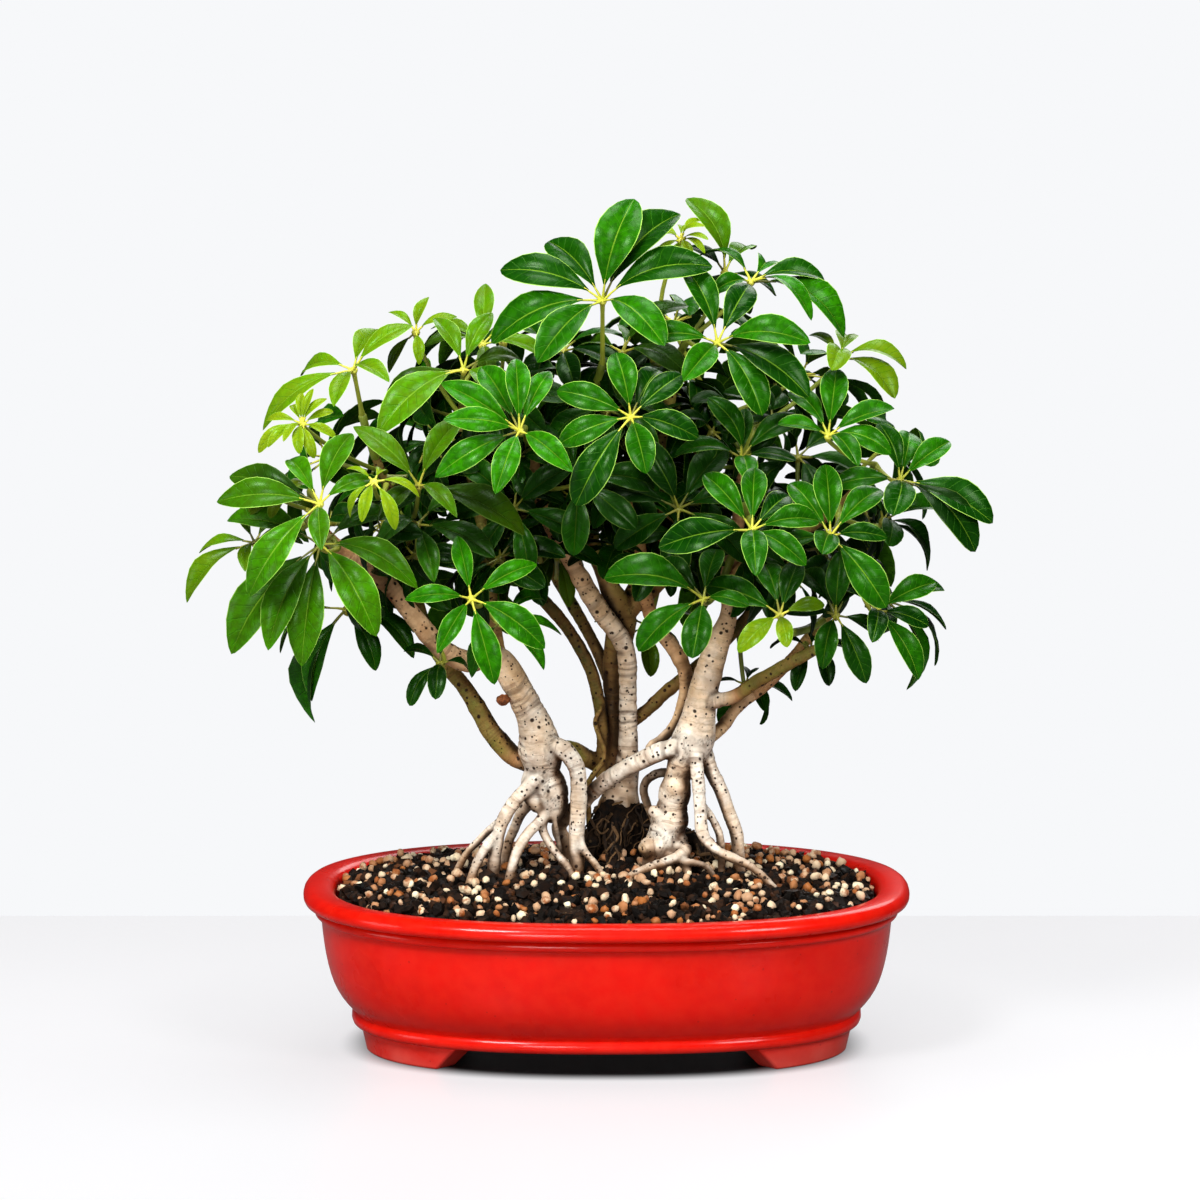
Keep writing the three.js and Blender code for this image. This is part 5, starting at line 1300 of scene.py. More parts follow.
class BONSAI_OT_make_soil(bpy.types.Operator):
    """Break up the soil's mound, and scatter dark and brown lumps and pebbles over it"""

    bl_idname = "bonsai.make_soil"
    bl_label = "Make soil"

    def execute(self, context):
        settings = context.scene.bonsai_soil
        rng = random.Random(31)
        mound = rough_soil()
        mound.data.materials.append(make_earth(settings))
        finish_piece(mound, "grit", "soil")
        ground = BVHTree.FromObject(mound, context.evaluated_depsgraph_get())
        blocked = ray_target(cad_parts["tree_" + tree].data for tree in LIMB_TABLES)
        rough = [lump_form(rng, 1, 0.9) for _ in range(14)]
        smooth = [lump_form(rng, 2, 0.35) for _ in range(10)]
        lumps = scatter_on_soil(rng, ground, blocked, settings.lumps, (0.0019, 0.0037), rough, 0.45)
        dark = make_lump("Dark grit", colour(22, 16, 12), colour(4, 3, 2), colour(52, 32, 19), 0.1)
        dark_grit = finish_piece(lumps.piece("dark_grit", [dark], ROUGH_BEND), "grit")
        few = settings.lumps // 8
        brown = scatter_on_soil(rng, ground, blocked, few, (0.0014, 0.003), rough, 0.35)
        tan = make_lump("Brown grit", colour(128, 76, 40), colour(48, 28, 16), colour(20, 14, 10), 0.2)
        finish_piece(brown.piece("brown_grit", [tan], ROUGH_BEND), "grit")
        top = ray_target([mound.data, dark_grit.data])
        stones = scatter_on_soil(rng, top, blocked, settings.pebbles, (0.0016, 0.0028), smooth, 0.42)
        pale = make_lump(
            "Pale pebbles", colour(246, 232, 196), colour(158, 92, 36), colour(140, 74, 26), 0.3)
        finish_piece(stones.piece("pebbles", [pale], SMOOTH_BEND), "grit")
        return {"FINISHED"}


# Trees
def limb_path(rows):
    """A limb's row of (x, h, y, radius) as smooth, evenly spaced (point, radius, length)."""
    points = [seen(x, h, y) for x, h, y, _ in rows]
    radii = [row[3] * MM for row in rows]
    return smooth_path(points, radii, PATH_STEP)


def knuckled(seed):
    """How bark swells round a limb: soft lumps, and rings where leaves once stood."""

    def shape(point, out, radius, length):
        place = point + out * radius
        lumps = noise.noise(place * 55 + seed) * 0.1 + noise.noise(place * 150 + seed) * 0.05
        rings = noise.noise(Vector((length * 190, seed.x, 0)))
        ring = smoothstep(0.22, 0.5, rings) * min(0.00035, radius * 0.09)
        return radius * (1 + lumps) + ring

    return shape


def grow_limbs(tree, detail):
    """All limbs of a tree grown into one skin, with the bark's values on its points."""
    paths = {limb: limb_path(rows) for limb, rows in LIMB_TABLES[tree].items()}
    form = Skin()
    samples = []
    for order, (limb, path) in enumerate(paths.items()):
        seed = Vector((order * 7.3, len(tree) * 3.1, order * 1.7))
        sides = KNUCKLE_SIDES if max(row[1] for row in path) > THICK_LIMB else THIN_SIDES
        form.add(*skin_rings(rings_along(rounded_ends(path), sides, knuckled(seed))))
        tones = LIMB_TONES[tree].get(limb, CREAM_ROOT)
        creases = LIMB_CREASES[tree].get(limb, PLAIN_CREASES)
        for k, (point, radius, length) in enumerate(path):
            out = path[min(k + 1, len(path) - 1)][0] - path[max(k - 1, 0)][0]
            share = length / path[-1][2]
            samples.append((point, radius, order * 0.37 + length, along_values(tones, share),
                            out.normalized(), along_values(creases, share)))
    grown = form.piece("tree_skin", [])
    voxel_skin(grown, detail)
    apply_modifier(grown, "SMOOTH", factor=0.5, iterations=3)
    finder = finder_of([sample[0] for sample in samples])
    tones, lengths, creases = [], [], []
    for vertex in grown.data.vertices:
        best = min(finder.find_n(vertex.co, 6), key=lambda found: found[2] - samples[found[1]][1])
        point, _, length, tone, out, creased = samples[best[1]]
        past = (vertex.co - point).dot(out)
        lengths.append(length + min(max(past, -0.0015), 0.0015))
        tones.append(tone)
        creases.append(creased)
    mesh = grown.data
    lengths = smoothed(mesh, lengths, 2)
    set_value(mesh, "tone", smoothed(mesh, tones, 6))
    set_value(mesh, "along", lengths)
    set_value(mesh, "hollow", hollows(mesh, 14))
    set_value(mesh, "crease", cut_creases(mesh, lengths, smoothed(mesh, creases, 6)))
    mesh.shade_smooth()
    return grown, paths


def cut_creases(mesh, lengths, strengths):
    """Cuts fine creases round the limbs; gives how deep in one each point lies, from 0 to 1."""
    depths = []
    for vertex, length, strength in zip(mesh.vertices, lengths, strengths):
        wander = length + noise.noise(vertex.co * 80) * 0.0035
        line = abs(noise.noise(Vector((wander * 150, 3.3, 0.7))))
        fine = abs(noise.noise(Vector((wander * 330, 1.1, 5.2))))
        broken = smoothstep(0.0, 0.3, noise.noise(vertex.co * 75 + Vector((5, 0, 0))) + 0.2 * strength)
        patchy = noise.noise(vertex.co * 60 + Vector((0, 9, 0))) + 0.3
        rare = smoothstep(0.25 - 0.35 * strength, 0.45, patchy)
        cut = smoothstep(0.15, 0.02, line) * broken
        depths.append(strength * max(cut, smoothstep(0.16, 0.03, fine) * rare * 0.8))
    normals = [vertex.normal.copy() for vertex in mesh.vertices]
    for vertex, normal, depth in zip(mesh.vertices, normals, depths):
        vertex.co -= normal * depth * CREASE_DEPTH
    return depths


def hidden_from_light(mesh, blockers):
    """How much each point is hidden from the open air by what stands near, undersides more, from 0 to 1;
    the bark paints it as shade.
    """
    rng = random.Random(5)
    hidden = []
    for vertex in mesh.vertices:
        normal = vertex.normal
        place = vertex.co + normal * 0.0007
        met = 0
        for _ in range(HIDDEN_RAYS):
            out = normal * 1.8 + Vector((rng.gauss(0, 1), rng.gauss(0, 1), rng.gauss(0, 1)))
            met += blockers.ray_cast(place, out, HIDDEN_REACH)[0] is not None
        hidden.append(met / HIDDEN_RAYS + UNDER_DARK * max(-normal.z, 0))
    soft = smoothed(mesh, hidden, 9)
    return np.clip((soft - HIDDEN_LOW) / (HIDDEN_HIGH - HIDDEN_LOW), 0, 1)


def smoothed(mesh, values, rounds):
    """Values on the mesh's points, each averaged with its neighbours' a number of times."""
    ends = np.empty(len(mesh.edges) * 2, np.int64)
    mesh.edges.foreach_get("vertices", ends)
    a, b = ends.reshape(-1, 2).T
    n = len(mesh.vertices)
    counts = 1 + np.bincount(a, minlength=n) + np.bincount(b, minlength=n)
    values = np.asarray(values, float)
    for _ in range(rounds):
        sums = values + np.bincount(a, values[b], n) + np.bincount(b, values[a], n)
        values = sums / counts
    return values


def hollows(mesh, rounds):
    """From 0 to 1 where the surface is hollow, as where a root leaves the trunk."""
    n = len(mesh.vertices)
    places, normals = np.empty(n * 3), np.empty(n * 3)
    mesh.vertices.foreach_get("co", places)
    mesh.vertices.foreach_get("normal", normals)
    places, normals = places.reshape(-1, 3), normals.reshape(-1, 3)
    soft = np.stack([smoothed(mesh, places[:, k], rounds) for k in range(3)], axis=1)
    rise = ((soft - places) * normals).sum(axis=1)
    return smoothed(mesh, np.clip((rise - HOLLOW_LOW) / (HOLLOW_HIGH - HOLLOW_LOW), 0, 1), 2)


class BONSAI_OT_grow_trees(bpy.types.Operator):
    """Grow the three trees with their prop roots, and cover them with bark"""

    bl_idname = "bonsai.grow_trees"
    bl_label = "Grow trees"

    def execute(self, context):
        settings = context.scene.bonsai_trees
        bark = make_bark(settings)
        meshes = []
        for tree in LIMB_TABLES:
            grown, LIMB_PATHS[tree] = grow_limbs(tree, settings.detail)
            grown.name = "bark_" + tree
            grown.data.materials.append(bark)
            finish_piece(grown, "bark", "tree_" + tree)
            meshes.append(grown.data)
        blockers = ray_target([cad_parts["soil"].data, *meshes])
        for mesh in meshes:
            set_value(mesh, "hidden", hidden_from_light(mesh, blockers))
        return {"FINISHED"}


def make_bud():
    """A dry red-brown bud on the left trunk."""
    bpy.ops.mesh.primitive_uv_sphere_add(segments=24, ring_count=14, radius=1, location=(0, 0, 0))
    bud = bpy.context.object
    middle = seen(*BUD_PLACE)
    for vertex in bud.data.vertices:
        swell = 1 + 0.22 * noise.noise(vertex.co * 2.1)
        vertex.co = middle + vertex.co * Vector(BUD_SIZE) * swell * MM
    bpy.ops.object.shade_smooth()
    bud.name = "dry_bud"
    bud.data.materials.append(make_dry_bud())
    return bud


def make_cut_end():
    """The pale cut face at the end of the shortened branch."""
    path = LIMB_PATHS["right"]["cut_branch"]
    end, radius, _ = path[-1]
    out = (end - path[-2][0]).normalized()
    line = [(end + out * radius * far, radius * wide, 0.0) for far, wide in CUT_END]
    form = Skin()
    add_tube(form, line, KNUCKLE_SIDES)
    return form.piece("cut_end", [make_cut_wood()])


def grow_clump():
    """The rough clump of old roots between the trunks."""
    form = Skin()
    for order, rows in enumerate(ROOT_MASS.values()):
        seed = Vector((order * 5.1, 3.7, order * 2.3))
        path = rounded_ends(limb_path(rows))
        form.add(*skin_rings(rings_along(path, KNUCKLE_SIDES, knuckled(seed))))
    clump = form.piece("root_mass", [])
    voxel_skin(clump, CLUMP_STEP)
    for vertex in clump.data.vertices:
        p = vertex.co
        lumps = noise.noise(p * 160) * 0.0016 + noise.noise(p * 420) * 0.0011
        vertex.co = p + vertex.normal * lumps
    clump.data.shade_smooth()
    return clump


def crawl(rng, ground, place, heading, steps, stride, fall):
    """A path that winds over a surface, sinking by fall at each step."""
    points = []
    for _ in range(steps):
        hit, normal, _, _ = ground.find_nearest(place)
        points.append(hit + normal * rng.uniform(0.0001, 0.0013))
        heading += random_vector(rng) * 0.8
        heading.z -= fall
        heading = (heading - normal * heading.dot(normal)).normalized()
        place = hit + heading * stride
    return points


def root_loop(rng):
    """The points of one root that curls up between the trunks."""
    points = []
    for k in range(LOOP_POINTS):
        angle = k / (LOOP_POINTS - 1) * 1.8 * math.pi
        bend = Vector((math.cos(angle), math.sin(angle) * 0.7, math.sin(angle * 1.06)))
        points.append(seen(*LOOP_PLACE) + bend * LOOP_REACH * rng.uniform(0.9, 1.1) * MM)
    return points


class BONSAI_OT_tangle_roots(bpy.types.Operator):
    """Fill the gap between the trunks with a clump of old roots, and wind fine roots over it"""

    bl_idname = "bonsai.tangle_roots"
    bl_label = "Tangle roots"

    def execute(self, context):
        rng = random.Random(19)
        finish_piece(make_bud(), "bark")
        finish_piece(make_cut_end(), "bark")
        clump = grow_clump()
        clump.data.materials.append(make_root_mass())
        finish_piece(clump, "bark")
        ground = BVHTree.FromObject(clump, context.evaluated_depsgraph_get())
        form = Skin("tint")
        tops = [vertex.co.copy() for vertex in clump.data.vertices
                if FINE_ROOT_LOW < vertex.co.z < FINE_ROOT_HIGH and vertex.normal.z > -0.3]
        for _ in range(FINE_ROOTS):
            heading = Vector((rng.uniform(-1, 1), rng.uniform(-1, 1), -0.6))
            points = crawl(rng, ground, rng.choice(tops), heading, rng.randint(7, 15), 0.0021, 0.35)
            thick = rng.choice((0.3, 0.35, 0.45, 0.6, 0.9)) * MM
            radii = [thick * (1 - 0.5 * k / len(points)) for k in range(len(points))]
            add_tube(form, smooth_path(points, radii, FINE_STEP), 5, tint=rng.random() ** 2.2)
        path = smooth_path(root_loop(rng), [0.5 * MM] * LOOP_POINTS, FINE_STEP)
        add_tube(form, path, 6, tint=0.55)
        finish_piece(form.piece("fine_roots", [make_fine_root()]), "bark")
        return {"FINISHED"}


# Leaves
def umbrellas_of(node):
    """The umbrellas of a packed shoot, read from its leaf blades, and the form's merged points."""
    form = bmesh.new()
    form.from_mesh(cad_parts[node].data)
    bmesh.ops.remove_doubles(form, verts=form.verts, dist=SAME_PLACE)
    points = [v.co.copy() for v in form.verts]
    umbrellas = []
    for tip in form.verts:
        around = [edge.other_vert(tip) for edge in tip.link_edges]
        if len(around) != 3:
            continue
        keel = max(around, key=lambda v: len(v.link_edges))
        one, two = [v for v in around if v is not keel]
        known = {tip, keel, one, two}
        behind = {e.other_vert(v) for v in (one, two) for e in v.link_edges} - known
        if len(keel.link_edges) < 7 or len(behind) != 2:
            continue
        back_one, back_two = sorted(behind, key=lambda v: (v.co - one.co).length)
        add_leaflet(umbrellas, tip.co, (back_one.co, back_two.co), (one.co, two.co), points)
    form.free()
    return umbrellas, points


def add_leaflet(umbrellas, tip, rim, outer_rim, points):
    """A leaflet's own line, from where the blade is widest, its outer rim and its tip.

    Its middle line is hub + along * s + 4 * arch * up * s * (1 - s), with the rims at s of RIM_SHARES.
    """
    a = (rim[0] + rim[1]) / 2 - tip
    b = (outer_rim[0] + outer_rim[1]) / 2 - tip
    bends = [4 * LEAF_ARCH * s * (1 - s) for s in RIM_SHARES]
    falls = [s - 1 for s in RIM_SHARES]
    scale = falls[0] * bends[1] - falls[1] * bends[0]
    along = (a * bends[1] - b * bends[0]) / scale
    up = (b * falls[0] - a * falls[1]) / scale
    hub = tip - along
    leaflet = {"along": along, "up": up.normalized(), "arch": LEAF_ARCH,
               "across": (rim[0] - rim[1]).normalized(), "width": (rim[0] - rim[1]).length / RIM_WIDTH}
    for umbrella in umbrellas:
        if (umbrella["hub"] - hub).length < SAME_HUB:
            umbrella["leaflets"].append(leaflet)
            return
    dome = min(points, key=lambda p: (p - hub).length)
    umbrellas.append({"hub": hub, "facing": (dome - hub).normalized(), "leaflets": [leaflet]})


def limb_point(tree, limb, share):
    """The point and radius at a share of the straight spans of a limb's table."""
    rows = LIMB_TABLES[tree][limb]
    points = [seen(x, h, y) for x, h, y, _ in rows]
    spans = [(b - a).length for a, b in zip(points, points[1:])]
    left = share * sum(spans)
    k = 0
    while k < len(spans) - 1 and left > spans[k]:
        left -= spans[k]
        k += 1
    t = left / spans[k]
    return points[k].lerp(points[k + 1], t), mix(rows[k][3], rows[k + 1][3], t) * MM


def stalk_bend(start, umbrella, sway):
    """The three points of a leaf stalk's bow: its start, its bend and its end under the hub."""
    end = umbrella["hub"] - umbrella["facing"] * HUB_DEPTH
    line = end - start
    aside = line.cross(Vector((0, 0, 1))).normalized()
    above = aside.cross(line).normalized()
    bend = start.lerp(end, BOW_SHARE) - umbrella["facing"] * BOW_DEPTH * line.length
    return start, bend + (aside * sway[0] + above * sway[1]) * line.length, end


def on_bow(bow, t):
    """The point of a bow at a share of its way."""
    a, b, c = bow
    return a * (1 - t) ** 2 + b * 2 * t * (1 - t) + c * t * t


def stalk_bow(start, umbrella, points):
    """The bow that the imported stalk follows, found by which of the possible sways has points round it."""
    def fit(bow):
        inner = [on_bow(bow, k / 3) for k in (1, 2)]
        gaps = [abs((p - q).length - PETIOLE_RADIUS) for p in points for q in inner]
        return sum(gap < STALK_FIT for gap in gaps)

    return max((stalk_bend(start, umbrella, sway) for sway in SWAYS), key=fit)


def add_tube(form, path, sides, slot=0, **values):
    """A closed tube along a path, in one slot and with values of its own."""
    form.add(*skin_rings(rings_along(path, sides)), slot, **values)


def add_stalk(form, bow, radius, values):
    """A leaf stalk, a little swollen where it leaves the shoot and under its hub."""
    length = (bow[2] - bow[0]).length
    steps = max(5, int(length / 0.006))
    path = []
    for k in range(steps + 1):
        t = k / steps
        swell = 1 + 0.35 * smoothstep(0.1, 0.0, t) + 0.22 * smoothstep(0.9, 1.0, t)
        path.append((on_bow(bow, t), radius * swell * mix(1.0, 0.82, t), t * length))
    add_tube(form, path, 8, STALK, **values)


def add_hub(form, umbrella, values):
    """The small knob where the leaflets meet, domed above and drawn in to its stalk."""
    hub, facing = umbrella["hub"], umbrella["facing"]
    path = [(hub + facing * height * MM, radius * MM, 0.0) for height, radius in HUB_ROWS]
    add_tube(form, path, 10, HUB, **values)


def blade_rows(leaflet, rng):
    """The leaflet's cross-sections: points over the top from edge to edge, and one under the midrib."""
    length = leaflet["along"].length
    along, up, across = leaflet["along"], leaflet["up"], leaflet["across"]
    slim = leaflet["slim"]
    half = min(leaflet["width"] * mix(0.47, 0.36, slim), length * mix(0.25, 0.162, slim))
    half *= rng.uniform(0.9, 1.04)
    fold = rng.uniform(0.18, 0.58)
    roll = rng.uniform(0.02, 0.22)
    bend = rng.uniform(-0.05, 0.05) * length
    twist = rng.uniform(-0.28, 0.28)
    droop = rng.uniform(0.0, 0.09) * length
    wave = rng.uniform(0.01, 0.05)
    phase = rng.uniform(0, 6)
    rows = []
    for t, blunt, pointed in [*BLADE_OUTLINE, (1.0, 0.0, 0.0)]:
        width = half * mix(blunt, pointed, slim)
        s = STALK_SHARE + (1 - STALK_SHARE) * t
        rise = 4 * leaflet["arch"] * s * (1 - s) * length
        middle = leaflet["hub"] + along * s + up * (rise - droop * t ** 3) + across * bend * t * t
        turn = twist * t
        side = across * math.cos(turn) + up * math.sin(turn)
        lift = up * math.cos(turn) - across * math.sin(turn)
        row = []
        for u, swell in zip(BLADE_COLUMNS, BLADE_SWELL):
            ripple = wave * math.sin(phase + t * 11 + u * 1.3) * u * u
            height = (fold * abs(u) - roll * u * u + swell + ripple) * width
            row.append(middle + side * u * width + lift * height)
        under = middle - lift * min(0.00055, 0.0002 + width * 0.1)
        rows.append((row, under))
    return rows


def add_blade(form, leaflet, rng, values):
    """The blade's skin through its cross-sections, closed at its foot and tip."""
    rows = blade_rows(leaflet, rng)
    points, uv, shade, faces, slots = [], [], [], [], []
    for (row, under), (t, _, _) in zip(rows[:-1], BLADE_OUTLINE):
        points += [*row, under]
        uv += [(0.5 + u / 2, t) for u in BLADE_COLUMNS] + [(0.5, t)]
        shade += [along_values(leaflet["dusk"], t)] * (len(row) + 1)
    tip = len(points)
    points.append(rows[-1][0][3])
    uv.append((0.5, 1.0))
    shade.append(leaflet["dusk"][-1])
    n = len(BLADE_COLUMNS)
    step = n + 1
    last = (len(BLADE_OUTLINE) - 1) * step
    for k in range(0, last, step):
        for i in range(n - 1):
            faces.append((k + i, k + i + 1, k + step + i + 1, k + step + i))
            slots.append(TOP)
        for a, b in ((n - 1, n), (n, 0)):
            faces.append((k + a, k + b, k + step + b, k + step + a))
            slots.append(UNDER)
    for i in range(n - 1):
        faces.append((last + i, last + i + 1, tip))
        slots.append(TOP)
    faces += [(last + n - 1, last + n, tip), (last + n, last, tip), tuple(reversed(range(step)))]
    slots += [UNDER] * 3
    if leaflet["across"].cross(leaflet["along"]).dot(leaflet["up"]) < 0:
        faces = [face[::-1] for face in faces]
    form.add(points, faces, slots, uv, shade=shade, **values)


def add_petiolule(form, leaflet, values):
    """The leaflet's own short stalk, from the hub to the blade."""
    length = leaflet["along"].length
    path = []
    for share, radius in PETIOLULE:
        rise = 4 * leaflet["arch"] * share * (1 - share) * length
        point = leaflet["hub"] + leaflet["along"] * share + leaflet["up"] * (rise - 0.0003)
        path.append((point, radius * MM, 0.0))
    add_tube(form, path, 6, HUB, **values)


def dusk_at(blockers, place, up, rng):
    """How much of the light from above and in front is kept from a place in the crown, from 0 to 1."""
    met = 0
    for _ in range(DUSK_RAYS):
        out = up + Vector((rng.uniform(-1, 1), rng.uniform(-1.5, 0.7), rng.uniform(-0.3, 1.5)))
        met += blockers.ray_cast(place + up * 0.0032, out, DUSK_REACH)[0] is not None
    return smoothstep(0.06, 0.88, met / DUSK_RAYS)


def add_umbrella(form, umbrella, rng, shade, young, blockers):
    """Hub, leaflets and their stalks; shade from 0 to 1 darkens them, young turns them lime, on the
    left-side shoots as painted light.
    """
    # The fresh share is painted light, which tints the left-side shoots lighter
    ground = rng.uniform(0.05, 0.5) + umbrella.get("fresh", 0.0)
    slim = umbrella.get("slim", rng.uniform(-0.1, 0.25))
    for leaflet in umbrella["leaflets"]:
        leaflet["hub"] = umbrella["hub"]
        leaflet["arch"] = LEAF_ARCH * rng.uniform(*ARCH_SPREAD)
        leaflet["slim"] = min(max(slim + rng.uniform(-0.2, 0.2), 0), 1)
        along, up = leaflet["along"], leaflet["up"]
        rise = up * (LEAF_ARCH * along.length)
        places = [umbrella["hub"] + along * s + rise * s for s in (0.3, 0.6, 0.9)]
        hidden = [dusk_at(blockers, place, up, rng) for place in places]
        leaflet["dusk"] = [1 - (1 - shade) * (1 - DUSK_DEPTH * part) for part in hidden]
        lime = max(paleness(leaflet), young)
        share = min(max(ground + rng.uniform(-0.4, 0.45), 0), 1)
        add_blade(form, leaflet, rng, {"tint": share, "young": lime})
        dark = leaflet["dusk"][0]
        add_petiolule(form, leaflet, {"tint": rng.uniform(0.2, 1), "shade": dark})
    middle = sum(leaflet["dusk"][0] for leaflet in umbrella["leaflets"]) / len(umbrella["leaflets"])
    add_hub(form, umbrella, {"tint": rng.uniform(0.5, 1), "shade": middle})


def paleness(leaflet):
    """How pale a leaflet is by where its hub and tip are."""
    ends = (leaflet["hub"], leaflet["hub"] + leaflet["along"])
    found = [pale for place, reach, pale in PALE_SPOTS
             if min((end - seen(*place)).length for end in ends) < reach * MM]
    return max(found, default=0.0)


def leaflet_along(along, across, facing, width):
    """A leaflet with its upper side turned to where its umbrella faces."""
    up = across.cross(along).normalized()
    if up.dot(facing) < 0:
        up = -up
    return {"along": along, "up": up, "arch": LEAF_ARCH, "across": across, "width": width}


def crowd(umbrella):
    """Gives the umbrella one more leaflet in each gap, and makes all of them longer and slimmer."""
    facing = umbrella["facing"]
    side = facing.orthogonal().normalized()
    other = facing.cross(side)
    ordered = sorted(umbrella["leaflets"], key=lambda leaflet: math.atan2(
        leaflet["along"].dot(other), leaflet["along"].dot(side)))
    more = []
    for one, two in zip(ordered, ordered[1:] + ordered[:1]):
        if one["along"].angle(two["along"]) > WIDEST_GAP:
            continue
        length = (one["along"].length + two["along"].length) / 2
        along = (one["along"].normalized() + two["along"].normalized()).normalized() * length
        across = facing.cross(along).normalized()
        width = (one["width"] + two["width"]) / 2
        more.append(leaflet_along(along, across, facing, width))
    umbrella["leaflets"] += more
    for leaflet in umbrella["leaflets"]:
        leaflet["along"] = leaflet["along"] * CROWDED_LENGTH
        leaflet["width"] *= CROWDED_WIDTH
    umbrella["slim"] = CROWDED_SLIM


def shade_of(node):
    """How dark a shoot is by its name."""
    for part, shade in SHADES.items():
        if part in node:
            return shade
    return 0.0


def crown_blockers():
    """What keeps the light from the leaves: all packed shoots and trees."""
    nodes = [*SHOOT_ROOTS, *("tree_" + tree for tree in LIMB_TABLES)]
    return ray_target(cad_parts[node].data for node in nodes)


def grow_shoot(node, rng, blockers):
    """The fine shoot that stands for a packed one: its stem, stalks, hubs and leaflets."""
    umbrellas, points = umbrellas_of(node)
    tree, limb, share, fork = SHOOT_ROOTS[node]
    root, radius = limb_point(tree, limb, share)
    towards = seen(*fork) if fork else umbrellas[0]["hub"]
    start = root + (towards - root).normalized() * radius * START_SHARE
    shade = shade_of(node)
    lime_of_youth_and_light = PALE.get(node, YOUNG_PALE if "young" in node else 0.0)
    lit_left_side = "left" in node and "back" not in node
    form = Skin("tint", "shade", "young")
    if fork:
        line = [start, start.lerp(towards, 0.5) + Vector((0, 0, -0.0012)), towards]
        stem = smooth_path(line, [SHOOT_RADIUS * 1.15, SHOOT_RADIUS * 0.95, SHOOT_RADIUS * 1.05], 0.004)
        add_tube(form, rounded_ends(stem), 10, STALK, tint=0.25, shade=shade)
    for umbrella in umbrellas:
        # Painted light: the left-side shoots get a lighter green tint, as that side of the crown is lit
        # more
        umbrella["fresh"] = 0.55 if lit_left_side else 0.1
        umbrella["slim"] = rng.uniform(0.85, 1.05) if lit_left_side else rng.uniform(0.15, 0.55)
        if "droop" in node:
            for leaflet in umbrella["leaflets"]:
                leaflet["width"] *= DROOPING_WIDTH
        elif node in CROWDED_SHOOTS:
            crowd(umbrella)
        bow = stalk_bow(towards if fork else start, umbrella, points)
        add_stalk(form, bow, PETIOLE_RADIUS, {"tint": rng.uniform(0.3, 0.9), "shade": shade})
        add_umbrella(form, umbrella, rng, shade, lime_of_youth_and_light, blockers)
    return form, umbrellas


class BONSAI_OT_grow_shoots(bpy.types.Operator):
    """Grow the fine leaflets, leaf stalks and hubs of every shoot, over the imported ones"""

    bl_idname = "bonsai.grow_shoots"
    bl_label = "Grow shoots"

    def execute(self, context):
        materials = leaf_materials(context.scene.bonsai_leaves)
        blockers = crown_blockers()
        for order, node in enumerate(SHOOT_ROOTS):
            rng = random.Random(100 + order)
            form, umbrellas = grow_shoot(node, rng, blockers)
            if not umbrellas:
                raise RuntimeError(node + " has no umbrella of leaves")
            HUBS.extend(umbrella["hub"] for umbrella in umbrellas)
            piece = form.piece(node.replace("shoot", "leaves"), materials, LEAF_BEND)
            finish_piece(piece, "young_leaf" if "young" in node else "leaf", node)
        return {"FINISHED"}


def leaf_materials(settings):
    """The materials of a shoot's slots, made once."""
    if not LEAF_MATERIALS:
        LEAF_MATERIALS.extend([
            make_leaf(settings, "Leaf top", False),
            make_leaf(settings, "Leaf underside", True),
            make_stalk(settings, "Leaf stalk", colour(178, 184, 62), colour(84, 108, 30)),
            make_stalk(settings, "Leaf hub", colour(222, 214, 74), colour(178, 186, 56)),
        ])
    return LEAF_MATERIALS


def new_umbrella(rng, hub, facing, reach, count):
    """A whorl made up for the crown's inside."""
    side = facing.cross(Vector((0.3, 1, 0.2))).normalized()
    other = facing.cross(side)
    first = rng.uniform(0, 2 * math.pi)
    leaflets = []
    for k in range(count):
        angle = first + 2 * math.pi * (k + rng.uniform(-0.16, 0.16)) / count
        out = side * math.cos(angle) + other * math.sin(angle)
        length = reach * rng.uniform(0.82, 1.05)
        along = (out - facing * rng.uniform(0.15, 0.5)).normalized() * length
        across = facing.cross(out).normalized()
        leaflets.append(leaflet_along(along, across, facing, length * rng.uniform(0.42, 0.5)))
    return {"hub": hub, "facing": facing, "leaflets": leaflets}


def in_crown(hub):
    """Whether a place is inside the crown, as seen from the front."""
    away = hub - CROWN_MIDDLE
    oval_share = (away.x / CROWN_HALF_WIDTH) ** 2 + (away.z / CROWN_HALF_HEIGHT) ** 2
    return oval_share <= 1 and hub.z >= LOWEST_WHORL


def has_room(hub, hubs):
    """Whether a place is clear of the other hubs and below the leaves over it."""
    if min((hub - other).length for other in hubs) < WHORL_GAP:
        return False
    roof = max((other.z for other in hubs if (other - hub).xy.length < ROOF_REACH), default=0)
    return hub.z <= roof - ROOF_GAP


